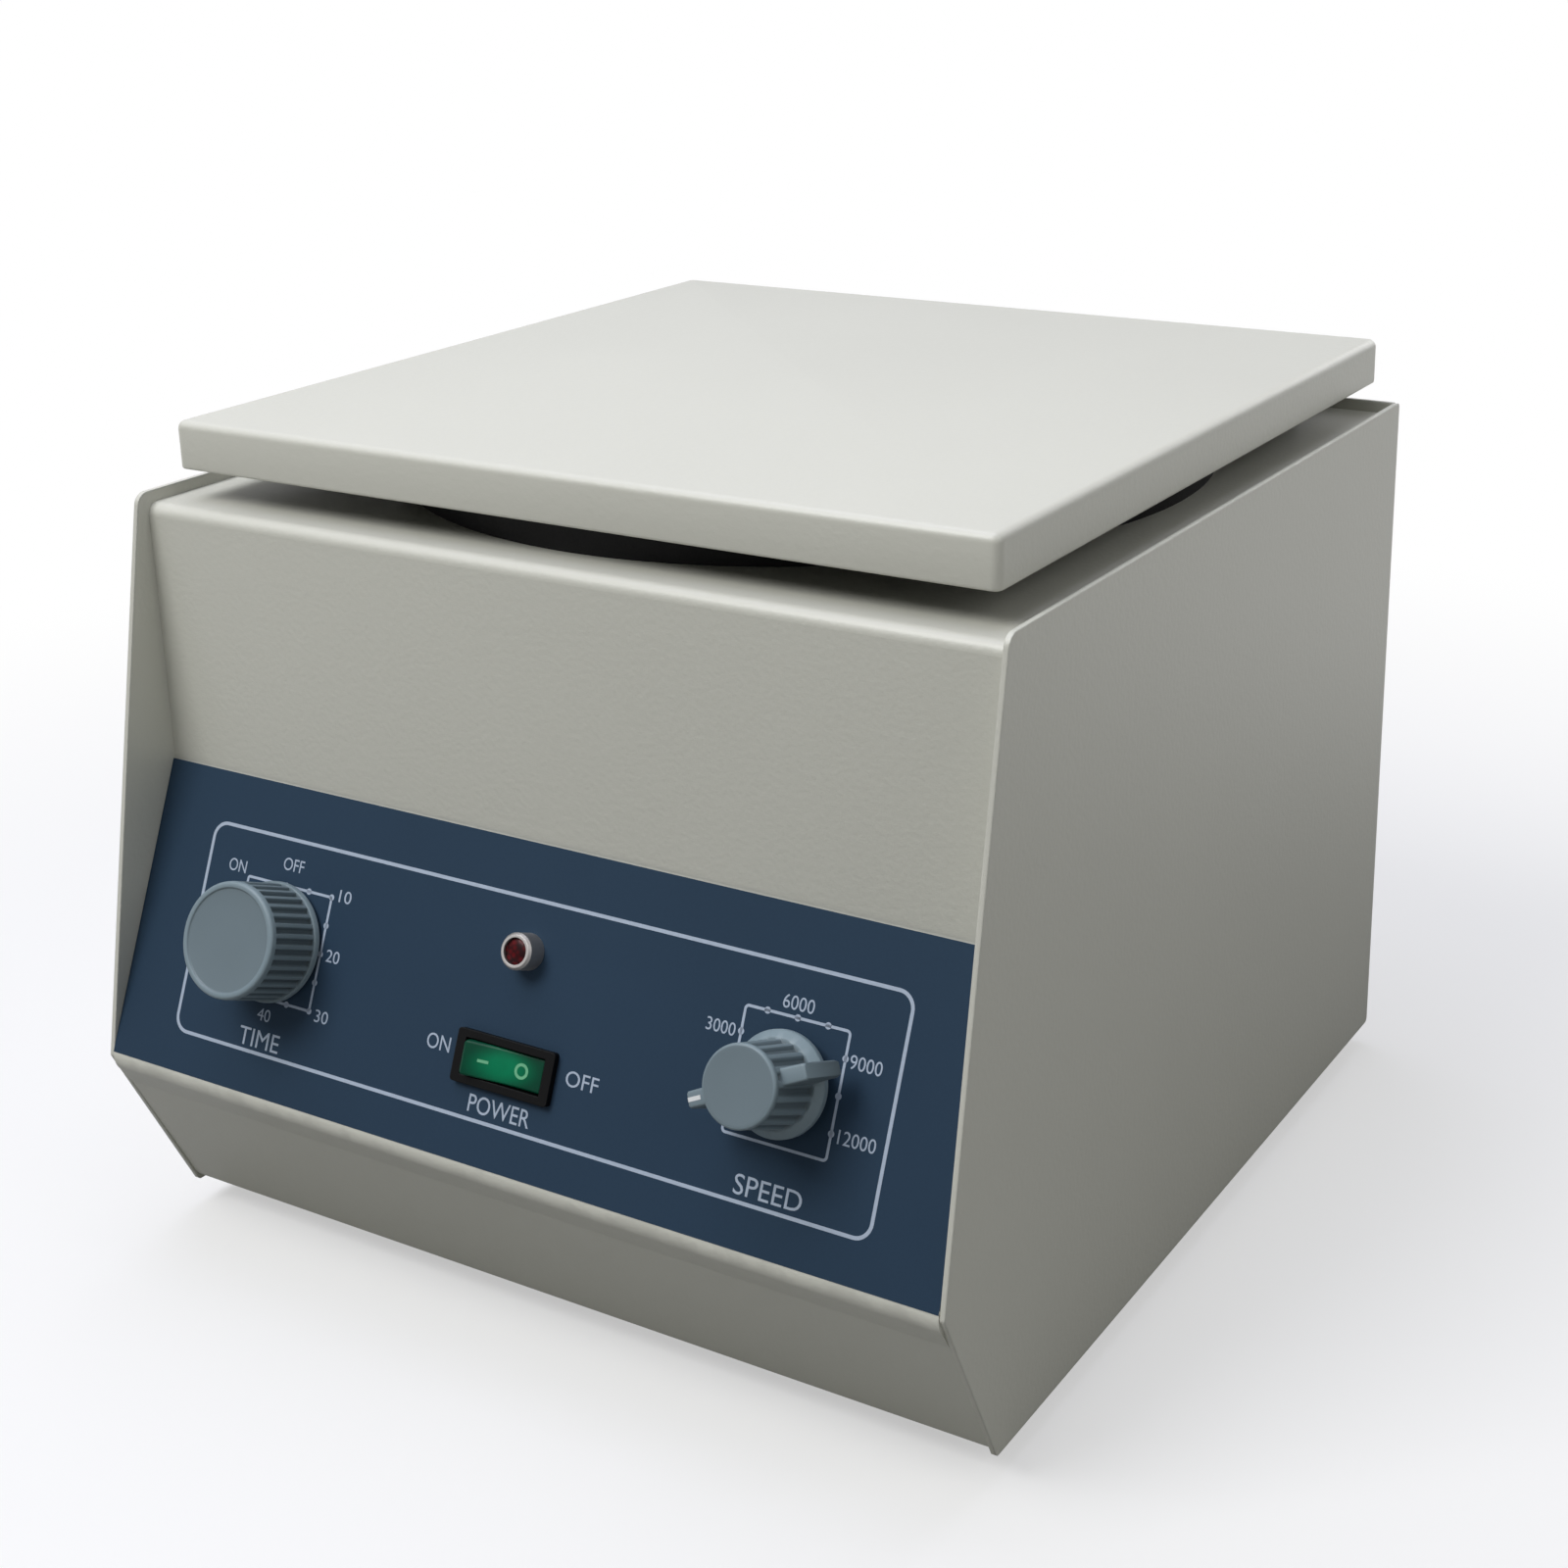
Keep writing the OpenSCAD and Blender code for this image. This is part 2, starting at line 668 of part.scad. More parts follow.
// Rubber collar that closes the chamber floor round the shaft
module shaft_seal() {
    inner = shaft_r + air_gap;
    foot_edge = seal_bore_r + 4;
    height = 9;
    color(black) on_axis(floor_z) rotate_extrude() {
        polygon([[inner, bowl_t], [foot_edge, bowl_t], [foot_edge, bowl_t + 2], [shaft_r + 3, height],
            [inner, height]]);
        translate([inner, 0]) square([seal_bore_r - inner - slip_fit, bowl_t]);
    }
}

// Motor can with a closed bottom that carries the lower bearing, and ports for the brushes
module motor_housing() {
    color([0.30, 0.31, 0.33]) difference() {
        on_axis(motor_z) cylinder(r = motor_r, h = motor_h);
        on_axis(lower_bearing_z + bearing_h) cylinder(r = motor_r - motor_wall, h = motor_h);
        on_axis(lower_bearing_z) cylinder(r = bearing_r, h = motor_h);
        on_axis(brush_z) cube([3 * motor_r, brush_w + 2 * slip_fit, brush_w + 2 * slip_fit], center = true);
    }
}

// End cap with a stepped spigot, the upper bearing's seat and cooling windows
module motor_end_cap() {
    color([0.62, 0.63, 0.64]) difference() {
        on_axis(cap_z) rotate_extrude() polygon([[0, 0], [motor_r, 0], [motor_r, motor_wall],
            [motor_r - 2 * motor_wall, end_cap_h - motor_wall], [bearing_r + motor_wall, end_cap_h],
            [0, end_cap_h]]);
        on_axis(upper_bearing_z - end_cap_h) cylinder(r = bearing_r, h = end_cap_h + bearing_h);
        on_axis(cap_z) cylinder(r = shaft_r + 1, h = end_cap_h + 1);
        for (a = [0 : 60 : 300]) on_axis(cap_z - 1) rotate(a) translate([(bearing_r + motor_r) / 2 + 1, 0, 0])
            cylinder(r = 5, h = end_cap_h + 2);
    }
}

// Field stack pressed into the can
module motor_stator() {
    color([0.45, 0.40, 0.34]) on_axis(core_z - armature_h / 2)
        tube(motor_r - motor_wall - run_fit, armature_r + 2 * air_gap, armature_h);
}

// Armature: slotted core, winding ends and commutator
module motor_armature() {
    color([0.60, 0.36, 0.20]) on_axis(0) difference() {
        union() {
            translate([0, 0, core_z - armature_h / 2]) linear_extrude(armature_h) difference() {
                circle(armature_r);
                for (a = [0 : 30 : 330]) rotate(a) translate([armature_r - 4, -1]) square([6, 2]);
            }
            translate([0, 0, core_z - armature_h / 2 - winding_h])
                cylinder(r = armature_r - 5, h = armature_h + 2 * winding_h);
            translate([0, 0, brush_z - brush_w / 2]) cylinder(r = commutator_r, h = core_z - brush_z);
        }
        cylinder(r = bore_r, h = case_h);
    }
}

// Stepped shaft from the lower bearing up through the rotor head to its threaded end
module motor_shaft() {
    color(bright) on_axis(0) rotate_extrude() polygon([[0, lower_bearing_z], [shaft_r, lower_bearing_z],
        [shaft_r, rim_z], [thread_r, rim_z], [thread_r, shaft_top], [0, shaft_top]]);
}

// Square plate under the motor
module motor_plate() {
    color([0.5, 0.5, 0.5]) on_axis(plate_z) linear_extrude(mount_t) difference() {
        rounded_box(mount_side, mount_side, 10);
        for (p = damper_places) translate(p) circle(screw_r + 1 + slip_fit);
    }
}

// Four rubber buffers between the base and the motor plate, waisted in the middle
module motor_dampers() {
    color(black) for (p = damper_places) on_axis(sheet_t) translate(p) difference() {
        rotate_extrude() polygon([[0, 0], [damper_r, 0], [damper_r, 4], [damper_r - 2, damper_h / 2],
            [damper_r, damper_h - 4], [damper_r, damper_h], [0, damper_h]]);
        translate([0, 0, -1]) cylinder(r = screw_r + slip_fit, h = 8);
        translate([0, 0, damper_h - 8]) cylinder(r = screw_r + 1 + slip_fit, h = 9);
    }
}

// Screws into each damper, from the motor plate and from under the base
module motor_screws() {
    color(bright) for (p = damper_places) {
        on_axis(plate_z + mount_t) translate(p) screw(screw_r + 1, head_r + 2, 3, mount_t + 6);
        on_axis(0) translate(p) mirror([0, 0, 1]) screw(screw_r, head_r, head_h, sheet_t + 5);
    }
}

module bearing(z) {
    color(bright) on_axis(z) tube(bearing_r - run_fit, bore_r, bearing_h);
}

module upper_bearing() bearing(upper_bearing_z);

module lower_bearing() bearing(lower_bearing_z);

// Two carbon brush holders pushed in from the sides of the can
module brush_holders() {
    reach = motor_r + 5 - commutator_r - air_gap;
    color([0.20, 0.14, 0.10]) for (side = [0, 180]) on_axis(brush_z) rotate(side)
        translate([commutator_r + air_gap, -brush_w / 2, -brush_w / 2]) cube([reach, brush_w, brush_w]);
}

// Rotor head: web, slotted platform, rim and a hub that takes the shaft
module rotor_head() {
    rim_inner = rotor_r - rim_t;
    slot_start = hub_r + 2;
    slot_end = rim_inner - rim_seal_t;
    color(bright) on_axis(0) difference() {
        rotate_extrude() polygon([[bore_r, head_z - hub_drop], [hub_r, head_z - hub_drop],
            [hub_r, head_z], [rotor_r - 2 * rim_t, head_z], [rotor_r, head_z + rotor_web],
            [rotor_r, rim_z], [rim_inner, rim_z], [rim_inner, platform_z], [slot_end, platform_z],
            [slot_end, platform_top], [hub_r, platform_top], [hub_r, rim_z], [bore_r, rim_z]]);
        for (k = [0 : slot_count - 1]) rotate(k * 360 / slot_count)
            translate([slot_start, -slot_w / 2, platform_top - slot_w])
                cube([slot_end + rim_seal_t / 2 - slot_start, slot_w, platform_h]);
    }
}

// Rubber ring that the sealed capillary ends press against
module rotor_rim_seal() {
    color(black) on_axis(platform_z)
        tube(rotor_r - rim_t - run_fit, rotor_r - rim_t - rim_seal_t + run_fit, platform_h + rim_rise / 2);
}

// Flat cover with a turned-down edge and a raised middle, clamped over the rotor head
module rotor_cover() {
    edge = rotor_r - 0.5;
    chamfer = 1;
    boss_in = clamp_r + 3;
    boss_out = boss_in + 10;
    color(bright) on_axis(rim_z) rotate_extrude() polygon([[thread_r + run_fit, 0], [edge, 0],
        [edge, cover_t - chamfer], [edge - chamfer, cover_t], [boss_out + chamfer, cover_t],
        [boss_out, cover_t + chamfer], [boss_in + chamfer, cover_t + chamfer], [boss_in, cover_t],
        [thread_r + run_fit, cover_t]]);
}

// Fluted clamping knob with a shoulder, screwed on the end of the shaft
module clamp_knob() {
    color(black) on_axis(cover_top + air_gap) difference() {
        union() {
            cylinder(r = clamp_r, h = 3);
            linear_extrude(clamp_h - 2) difference() {
                circle(clamp_r - 0.8);
                for (a = [0 : 20 : 340]) rotate(a) translate([clamp_r + 0.2, 0]) circle(1.8, $fn = 24);
            }
            translate([0, 0, clamp_h - 2]) cylinder(r1 = clamp_r - 2.6, r2 = clamp_r - 4.6, h = 2);
        }
        translate([0, 0, -1]) cylinder(r = thread_r + run_fit, h = shaft_top - cover_top + 1.5);
    }
}

// Lid outlines with rounded upper corners, seen from the front and from the side
module lid_section(w, h, r) {
    translate([-w / 2, 0]) square([w, h - r]);
    translate([-w / 2 + r, 0]) square([w - 2 * r, h]);
    for (side = [-1, 1]) translate([side * (w / 2 - r), h - r]) circle(r);
}

// Box with rounded top and upright edges, rear face at Y = 0
module lid_block(w, d, h, r) {
    intersection() {
        translate([0, -d, 0]) along_y(d) lid_section(w, h, r);
        translate([0, -d / 2, 0]) along_x(w) lid_section(d, h, r);
        translate([0, -d / 2, 0]) linear_extrude(h) rounded_box(w, d, r);
    }
}

// Holes for the hinge screws through the lid's rear edge, with the lid's lower edge at z
module lid_leaf_screw_holes(z) {
    for (side = [-1, 1], k = [-1, 1])
        translate([side * hinge_span / 2 + k * hinge_screw_x, 0, z + lid_h / 2]) rotate([90, 0, 0])
            cylinder(r = screw_r + slip_fit, h = 6 * sheet_t, center = true);
}

// Shallow sheet tray that forms the lid
module lid_shell() {
    color(paint) standing() translate([0, 0, lid_z]) difference() {
        lid_block(lid_w, lid_depth, lid_h, lid_edge_r);
        translate([0, -sheet_t, -sheet_t])
            lid_block(lid_w - 2 * sheet_t, lid_depth - 2 * sheet_t, lid_h, lid_edge_r - sheet_t);
        lid_leaf_screw_holes(0);
    }
}

// Liner that closes the underside of the lid, with its edge turned up inside the tray
module lid_liner() {
    w = lid_w - 2 * sheet_t - 2 * slip_fit;
    d = lid_depth - 2 * sheet_t - 2 * slip_fit;
    color([0.80, 0.80, 0.78]) standing() translate([0, -sheet_t - slip_fit, liner_z]) difference() {
        translate([0, -d / 2, 0]) linear_extrude(liner_edge) square([w, d], center = true);
        translate([0, -d / 2, 1]) linear_extrude(liner_edge) square([w - 2, d - 2], center = true);
        lid_leaf_screw_holes(-liner_inset);
    }
}

// Places a hinge's parts with the pin's axis at the origin, along X
module at_hinges() {
    for (side = [-1, 1]) standing() translate([side * hinge_span / 2, hinge_y, hinge_z]) children();
}

module knuckle(x0, x1, bore) {
    translate([x0, 0, 0]) rotate([0, 90, 0]) tube(knuckle_r, bore, x1 - x0);
}

// Space round the pin that a leaf's plate keeps clear of
module pin_room() {
    rotate([0, 90, 0]) cylinder(r = (knuckle_r + hinge_pin_r) / 2, h = 2 * hinge_w, center = true);
}

// Case leaves: a plate on the rear panel and the two outer knuckles
module hinge_case_leaves() {
    color(bright) at_hinges() difference() {
        union() {
            for (side = [-1, 1]) {
                x0 = side < 0 ? -hinge_w / 2 : knuckle_w / 2 + knuckle_gap;
                length = knuckle_w - knuckle_gap;
                knuckle(x0, x0 + length, hinge_pin_r);
                difference() {
                    translate([x0, -hinge_y, -case_leaf_h]) cube([length, leaf_t, case_leaf_h]);
                    pin_room();
                }
            }
            translate([-hinge_w / 2, -hinge_y, -case_leaf_h])
                cube([hinge_w, leaf_t, case_leaf_h - knuckle_r - air_gap]);
        }
        for (k = [-1, 1]) translate([k * hinge_screw_x, -hinge_y - 1, case_leaf_screw_z]) rotate([-90, 0, 0])
            cylinder(r = screw_r + slip_fit, h = leaf_t + 2);
    }
}

// Lid leaves: a plate on the lid's rear edge and the middle knuckle
module hinge_lid_leaves() {
    color(bright) at_hinges() difference() {
        union() {
            knuckle(-knuckle_w / 2 + knuckle_gap, knuckle_w / 2 - knuckle_gap, hinge_pin_r + run_fit);
            difference() {
                translate([-knuckle_w / 2 + knuckle_gap, -hinge_y, 0])
                    cube([knuckle_w - 2 * knuckle_gap, leaf_t, lid_leaf_h]);
                pin_room();
            }
            translate([-hinge_w / 2, -hinge_y, knuckle_r + air_gap])
                cube([hinge_w, leaf_t, lid_leaf_h - knuckle_r - air_gap]);
        }
        for (k = [-1, 1]) translate([k * hinge_screw_x, -hinge_y - 1, lid_leaf_screw_z]) rotate([-90, 0, 0])
            cylinder(r = screw_r + slip_fit, h = leaf_t + 2);
    }
}

module hinge_pins() {
    color(bright) at_hinges() rotate([0, 90, 0]) cylinder(r = hinge_pin_r, h = hinge_w, center = true);
}

// Two screws through each leaf, at the given height above the pin
module leaf_screws(z) {
    color(bright) at_hinges() for (k = [-1, 1])
        translate([k * hinge_screw_x, leaf_t - hinge_y, z]) rotate([-90, 0, 0])
            screw(screw_r, small_head_r, small_head_h, leaf_t + 3 * sheet_t);
}

module hinge_case_screws() leaf_screws(case_leaf_screw_z);

module hinge_lid_screws() leaf_screws(lid_leaf_screw_z);

// Square timer with a threaded bush through the panel
module timer_body() {
    color([0.25, 0.25, 0.27]) on_panel(-dial_x, dial_v) difference() {
        union() {
            translate([0, 0, -sheet_t - timer_depth]) linear_extrude(timer_depth)
                rounded_box(timer_side, timer_side, 4);
            translate([0, 0, -sheet_t - 1]) cylinder(r = bush_r, h = sheet_t + 1 + face + bush_out);
        }
        translate([0, 0, -sheet_t - spindle_in]) cylinder(r = spindle_r + run_fit, h = timer_depth);
    }
}

// Hexagon nut that clamps a bush to the panel
module bush_nut(x) {
    color(bright) on_panel(x, dial_v) translate([0, 0, face]) difference() {
        cylinder(r = bush_r + 3.2, h = bush_nut_t, $fn = 6);
        translate([0, 0, -1]) cylinder(r = bush_r + run_fit, h = bush_nut_t + 2);
    }
}

module timer_nut() bush_nut(-dial_x);

module pot_nut() bush_nut(dial_x);

// Round spindle from inside a control up into its knob
module spindle(x, top) {
    foot = -sheet_t - spindle_in + spindle_play;
    color(bright) on_panel(x, dial_v) translate([0, 0, foot])
        cylinder(r = spindle_r, h = top - knob_wall - foot);
}

module timer_spindle() spindle(-dial_x, time_top);

module pot_spindle() spindle(dial_x, speed_top);

// Hollow under a knob that clears the bush and its nut, round a hub for the spindle
module knob_hollow(r, top) {
    hub_wall = 2.4;
    clear = face + bush_out + 1;
    translate([0, 0, -1]) cylinder(r = r, h = clear + 1);
    translate([0, 0, clear]) difference() {
        cylinder(r = r, h = top - 2 * knob_wall - clear);
        translate([0, 0, -1]) cylinder(r = spindle_r + hub_wall, h = top);
    }
    translate([0, 0, -1]) cylinder(r = spindle_r + run_fit, h = top - knob_wall + 1 + run_fit);
}

// Fluted timer knob with a bevelled, dished face
module time_knob() {
    flute_r = 1.4;
    dish = 0.5;
    color(knob_grey) on_panel(-dial_x, dial_v) difference() {
        union() {
            translate([0, 0, knob_foot]) linear_extrude(time_top - knob_foot - knob_bevel) difference() {
                circle(time_knob_r);
                for (k = [0 : flute_count - 1]) rotate(k * 360 / flute_count)
                    translate([time_knob_r + flute_r - flute_depth, 0]) circle(flute_r, $fn = 24);
            }
            translate([0, 0, knob_foot]) cylinder(r = time_knob_r + foot_ring, h = foot_ring_h);
            translate([0, 0, time_top - knob_bevel])
                cylinder(r1 = time_face_r + knob_bevel, r2 = time_face_r, h = knob_bevel);
        }
        translate([0, 0, time_top - dish]) cylinder(r = time_face_r - 1, h = 2 * dish);
        knob_hollow(time_knob_r - knob_wall, time_top);
    }
}

// Potentiometer with its threaded bush
module speed_pot() {
    color([0.35, 0.33, 0.28]) on_panel(dial_x, dial_v) difference() {
        union() {
            translate([0, 0, -sheet_t - pot_depth]) cylinder(r = pot_r, h = pot_depth);
            translate([-6, -pot_r - 5, -sheet_t - pot_depth + 1]) cube([12, pot_r, 2]);
            translate([0, 0, -sheet_t - 1]) cylinder(r = bush_r, h = sheet_t + 1 + face + bush_out);
        }
        translate([0, 0, -sheet_t - spindle_in]) cylinder(r = spindle_r + run_fit, h = timer_depth);
    }
}

// Wing of the pointer: a bar that falls away towards its tip
module wing(reach) {
    foot = skirt_top - 1;
    crest = skirt_top + wing_rise;
    rotate([90, 0, 0]) linear_extrude(wing_w, center = true) polygon([[0, foot], [skirt_r - 1, foot],
        [reach, foot + wing_rise / 3], [reach, crest - wing_fall], [speed_knob_r, crest], [0, crest]]);
}

// Speed knob: skirt, fluted cap and a pointer with a wing to each side
module speed_knob() {
    flute_r = 1.4;
    color(knob_grey) on_panel(dial_x, dial_v) rotate(pointer_rest) difference() {
        union() {
            translate([0, 0, skirt_foot]) cylinder(r = skirt_r, h = skirt_h - knob_bevel);
            translate([0, 0, skirt_top - knob_bevel])
                cylinder(r1 = skirt_r, r2 = skirt_r - knob_bevel, h = knob_bevel);
            translate([0, 0, skirt_foot]) linear_extrude(speed_top - knob_bevel - skirt_foot) difference() {
                circle(speed_knob_r);
                for (a = [10 : 20 : 350]) rotate(a)
                    translate([speed_knob_r + flute_r - flute_depth, 0]) circle(flute_r, $fn = 24);
            }
            translate([0, 0, speed_top - knob_bevel])
                cylinder(r1 = speed_face_r + knob_bevel / 2, r2 = speed_face_r, h = knob_bevel);
            wing(wing_reach);
            rotate(180) wing(wing_reach);
        }
        knob_hollow(speed_knob_r - 2, speed_top);
    }
}

// Switch bezel and body, with a well for the rocker and side holes for its pins
module switch_housing() {
    color(black) on_panel(switch_x, switch_v) difference() {
        union() {
            translate([0, 0, face]) linear_extrude(bezel_t) rounded_box(bezel_w, bezel_h, 1);
            translate([0, 0, -switch_depth]) linear_extrude(switch_depth + face)
                square([switch_body_w, switch_body_h], center = true);
        }
        translate([0, 0, -6]) linear_extrude(20) square([window_w, window_h], center = true);
        rotate([90, 0, 0]) cylinder(r = rocker_pin_r + run_fit, h = switch_body_h - 0.4, center = true);
    }
}

// Rocker with a shallow V face and a pin at each side, pressed down on its OFF end
module rocker() {
    pin_len = switch_body_h - 0.6;
    color([0.08, 0.45, 0.28]) on_panel(switch_x, switch_v) rotate([0, rocker_tilt, 0]) rotate([90, 0, 0]) {
        linear_extrude(rocker_h, center = true) polygon([[-rocker_w / 2, -2], [-rocker_w / 2 + 3, -3.5],
            [rocker_w / 2 - 3, -3.5], [rocker_w / 2, -2], [rocker_w / 2, rocker_end], [0, rocker_end - 1.4],
            [-rocker_w / 2, rocker_end]]);
        cylinder(r = rocker_pin_r, h = pin_len, center = true);
    }
}

// Lamp bezel: a collar on the panel with a threaded neck behind it
module lamp_bezel() {
    color(bright) on_panel(lamp_x, lamp_v) difference() {
        union() {
            translate([0, 0, face]) cylinder(r = lamp_r, h = lamp_out - 0.8);
            translate([0, 0, face + lamp_out - 0.8]) cylinder(r1 = lamp_r, r2 = lamp_r - 0.6, h = 0.8);
            translate([0, 0, -lamp_neck]) cylinder(r = lamp_neck_r, h = lamp_neck + face);
        }
        translate([0, 0, -lamp_neck + 2]) cylinder(r = lens_r + run_fit, h = lamp_neck + 20);
    }
}

// Lens with a domed front, set back a little in the bezel
module lamp_lens() {
    dome = lens_r * 1.5;
    rise = dome - sqrt(dome * dome - lens_r * lens_r);
    top = face + lamp_out - 1.2;
    color([0.45, 0.05, 0.06]) on_panel(lamp_x, lamp_v) intersection() {
        translate([0, 0, -lamp_neck + 2]) cylinder(r = lens_r, h = lamp_neck - 2 + top);
        translate([0, 0, top - dome]) union() {
            sphere(dome);
            translate([0, 0, -lamp_neck - top])
                cylinder(r = lens_r, h = lamp_neck + top + dome - rise - 0.01);
        }
    }
}

module lamp_nut() {
    color(bright) on_panel(lamp_x, lamp_v) translate([0, 0, -sheet_t - 3]) difference() {
        cylinder(r = lamp_neck_r + 2.6, h = 3, $fn = 6);
        translate([0, 0, -1]) cylinder(r = lamp_neck_r + run_fit, h = 5);
    }
}

// Mains inlet: flange outside, body inside, a socket with three blades
module mains_inlet() {
    w = socket_w / 2;
    h = socket_h / 2;
    cut = 4;
    blade = [2, 4];
    blades = [[-7, -2], [7, -2], [0, 2]];
    color(black) standing() translate([inlet_x, 0, inlet_z]) {
        difference() {
            union() {
                along_y(inlet_flange_t) difference() {
                    rounded_box(inlet_w, inlet_h, 3);
                    for (side = [-1, 1]) translate([side * inlet_screw_x, 0]) circle(screw_r + slip_fit);
                }
                translate([0, -inlet_depth, 0]) along_y(inlet_depth)
                    square([inlet_body_w, inlet_body_h], center = true);
            }
            translate([0, -inlet_depth + inlet_wall, 0]) along_y(inlet_depth + inlet_flange_t)
                polygon([[-w, -h], [w, -h], [w, h - cut], [w - cut, h], [cut - w, h], [-w, h - cut]]);
        }
        for (b = blades) translate([b[0], -inlet_depth + inlet_wall / 2, b[1]])
            along_y(inlet_depth - inlet_wall) square(blade, center = true);
    }
}

module inlet_screws() {
    color(bright) standing() for (side = [-1, 1])
        translate([inlet_x + side * inlet_screw_x, inlet_flange_t, inlet_z]) rotate([-90, 0, 0])
            screw(screw_r, small_head_r, small_head_h, inlet_flange_t + 4 * sheet_t);
}

// Screw-cap fuse holder: collar, fluted cap with a driver slot, and the barrel inside
module fuse_holder() {
    collar = 2.5;
    color(black) standing() translate([inlet_x, 0, inlet_z + fuse_offset]) rotate([-90, 0, 0]) difference() {
        union() {
            cylinder(r = fuse_r, h = collar);
            translate([0, 0, collar]) linear_extrude(fuse_out - collar) difference() {
                circle(fuse_r - 1.5);
                for (k = [0 : 11]) rotate(k * 30) translate([fuse_r - 0.6, 0]) circle(1.3, $fn = 24);
            }
            translate([0, 0, -fuse_depth]) cylinder(r = fuse_r - 2, h = fuse_depth);
        }
        translate([0, 0, fuse_out]) cube([2 * fuse_r, 1.4, 3], center = true);
    }
}

// Speed controller board beside the motor
module control_board() {
    color([0.10, 0.35, 0.18]) standing() translate([0, 0, board_z]) linear_extrude(board_t)
        difference() {
            translate([board_x, -board_y]) square([board_w, board_l], center = true);
            for (p = board_places) translate(p) circle(screw_r + slip_fit);
        }
}

// Pillars with a pin up through the board and a tail down through the base
module board_standoffs() {
    color(bright) standing() for (p = board_places) translate([p[0], p[1], 0]) {
        translate([0, 0, sheet_t]) cylinder(r = head_r, h = standoff_h);
        cylinder(r = screw_r, h = board_z + board_t + 3);
    }
}

// Finned heat sink on the board
module heat_sink() {
    fins = 6;
    fin_t = 1.4;
    width = (fins - 1) * fin_pitch + fin_t;
    color([0.25, 0.26, 0.28]) standing()
        translate([board_x - width / 2, -board_y - sink_l / 2, board_z + board_t]) {
            cube([width, sink_l, 3]);
            for (k = [0 : fins - 1]) translate([k * fin_pitch, 0, 0]) cube([fin_t, sink_l, sink_h]);
        }
}

left_side_plate();
right_side_plate();
front_top_cover();
rear_panel();
base_plate();
control_overlay();
rubber_feet();
foot_screws();
base_screws();
rear_screws();
chamber_bowl();
chamber_seal();
shaft_seal();
motor_housing();
motor_end_cap();
motor_stator();
motor_armature();
motor_shaft();
motor_plate();
motor_dampers();
motor_screws();
upper_bearing();
lower_bearing();
brush_holders();
rotor_head();
rotor_rim_seal();
rotor_cover();
clamp_knob();
lid_shell();
lid_liner();
hinge_case_leaves();
hinge_lid_leaves();
hinge_pins();
hinge_case_screws();
hinge_lid_screws();
timer_body();
timer_nut();
timer_spindle();
time_knob();
speed_pot();
pot_nut();
pot_spindle();
speed_knob();
switch_housing();
rocker();
lamp_bezel();
lamp_lens();
lamp_nut();
mains_inlet();
inlet_screws();
fuse_holder();
control_board();
board_standoffs();
heat_sink();
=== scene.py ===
"""Looks of a bench-top capillary centrifuge: enamelled sheet case, printed panel, knobs, lamp and rocker."""
import json
from math import atan2, cos, pi, radians, sin

import bpy
import numpy as np
from mathutils import Matrix, Vector


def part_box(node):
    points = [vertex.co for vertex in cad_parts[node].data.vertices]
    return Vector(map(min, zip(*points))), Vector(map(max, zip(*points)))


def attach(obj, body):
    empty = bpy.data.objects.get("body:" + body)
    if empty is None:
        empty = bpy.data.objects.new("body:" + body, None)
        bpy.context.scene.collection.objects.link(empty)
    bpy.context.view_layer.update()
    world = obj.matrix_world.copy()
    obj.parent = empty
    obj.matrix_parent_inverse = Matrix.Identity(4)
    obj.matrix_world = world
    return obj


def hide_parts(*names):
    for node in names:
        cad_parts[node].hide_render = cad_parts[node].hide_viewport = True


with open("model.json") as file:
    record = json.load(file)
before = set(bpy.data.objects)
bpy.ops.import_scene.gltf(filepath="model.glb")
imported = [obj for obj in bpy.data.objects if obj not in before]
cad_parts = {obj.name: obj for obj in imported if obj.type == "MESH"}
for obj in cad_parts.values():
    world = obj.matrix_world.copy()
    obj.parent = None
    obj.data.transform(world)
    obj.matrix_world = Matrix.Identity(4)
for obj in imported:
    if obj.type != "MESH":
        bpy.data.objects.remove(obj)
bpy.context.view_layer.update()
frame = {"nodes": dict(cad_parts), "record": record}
MM = 0.001

# Case frame in millimetres: X across, Y = 0 at the rear face, Z = 0 at the side plates' lower edge
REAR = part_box("right_side_plate")[1].y
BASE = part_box("right_side_plate")[0].z
SHEET = 1.5
CHIN_DEPTH, CHIN_H = 303.0, 55.0
TOE_DEPTH = 276.0
FRONT_DEPTH, FOLD_H = 267.0, 137.0
COVER_HALF = 138.4
AXIS_Y = -130.0
LID_W, LID_D, LID_Z, LID_H = 264.0, 260.0, 224.0, 14.0

# Panel frame in millimetres: across, up the slope from the chin, out from the sheet
SLOPE = atan2(CHIN_DEPTH - FRONT_DEPTH, FOLD_H - CHIN_H)
CHIN_TURN = SLOPE + atan2(CHIN_DEPTH - TOE_DEPTH, CHIN_H - SHEET)
FACE = 0.8
DIAL_X, DIAL_V = 86.0, 45.0
TIMER_R, TIMER_FOOT, TIMER_TOP = 16.6, FACE + 1.0, FACE + 20.0
SPEED_R, SPEED_TOP = 10.6, FACE + 24.0
SKIRT_R, SKIRT_FOOT, SKIRT_TOP = 13.6, FACE + 3.0, FACE + 7.0
WING_ROOT, WING_REACH, WING_W, WING_CREST = 7.0, 17.0, 4.8, FACE + 20.8
POINTER = radians(205)
SWITCH_X, SWITCH_V = 1.0, 29.5
ROCKER_W, ROCKER_H, ROCKER_END, ROCKER_TILT = 25.0, 9.4, 3.6, radians(9)
LAMP_X, LAMP_V = 1.0, 60.5
LENS_R, LENS_BACK, LENS_RIM, LENS_TOP = 3.6, -10.0, FACE + 5.4, FACE + 6.3

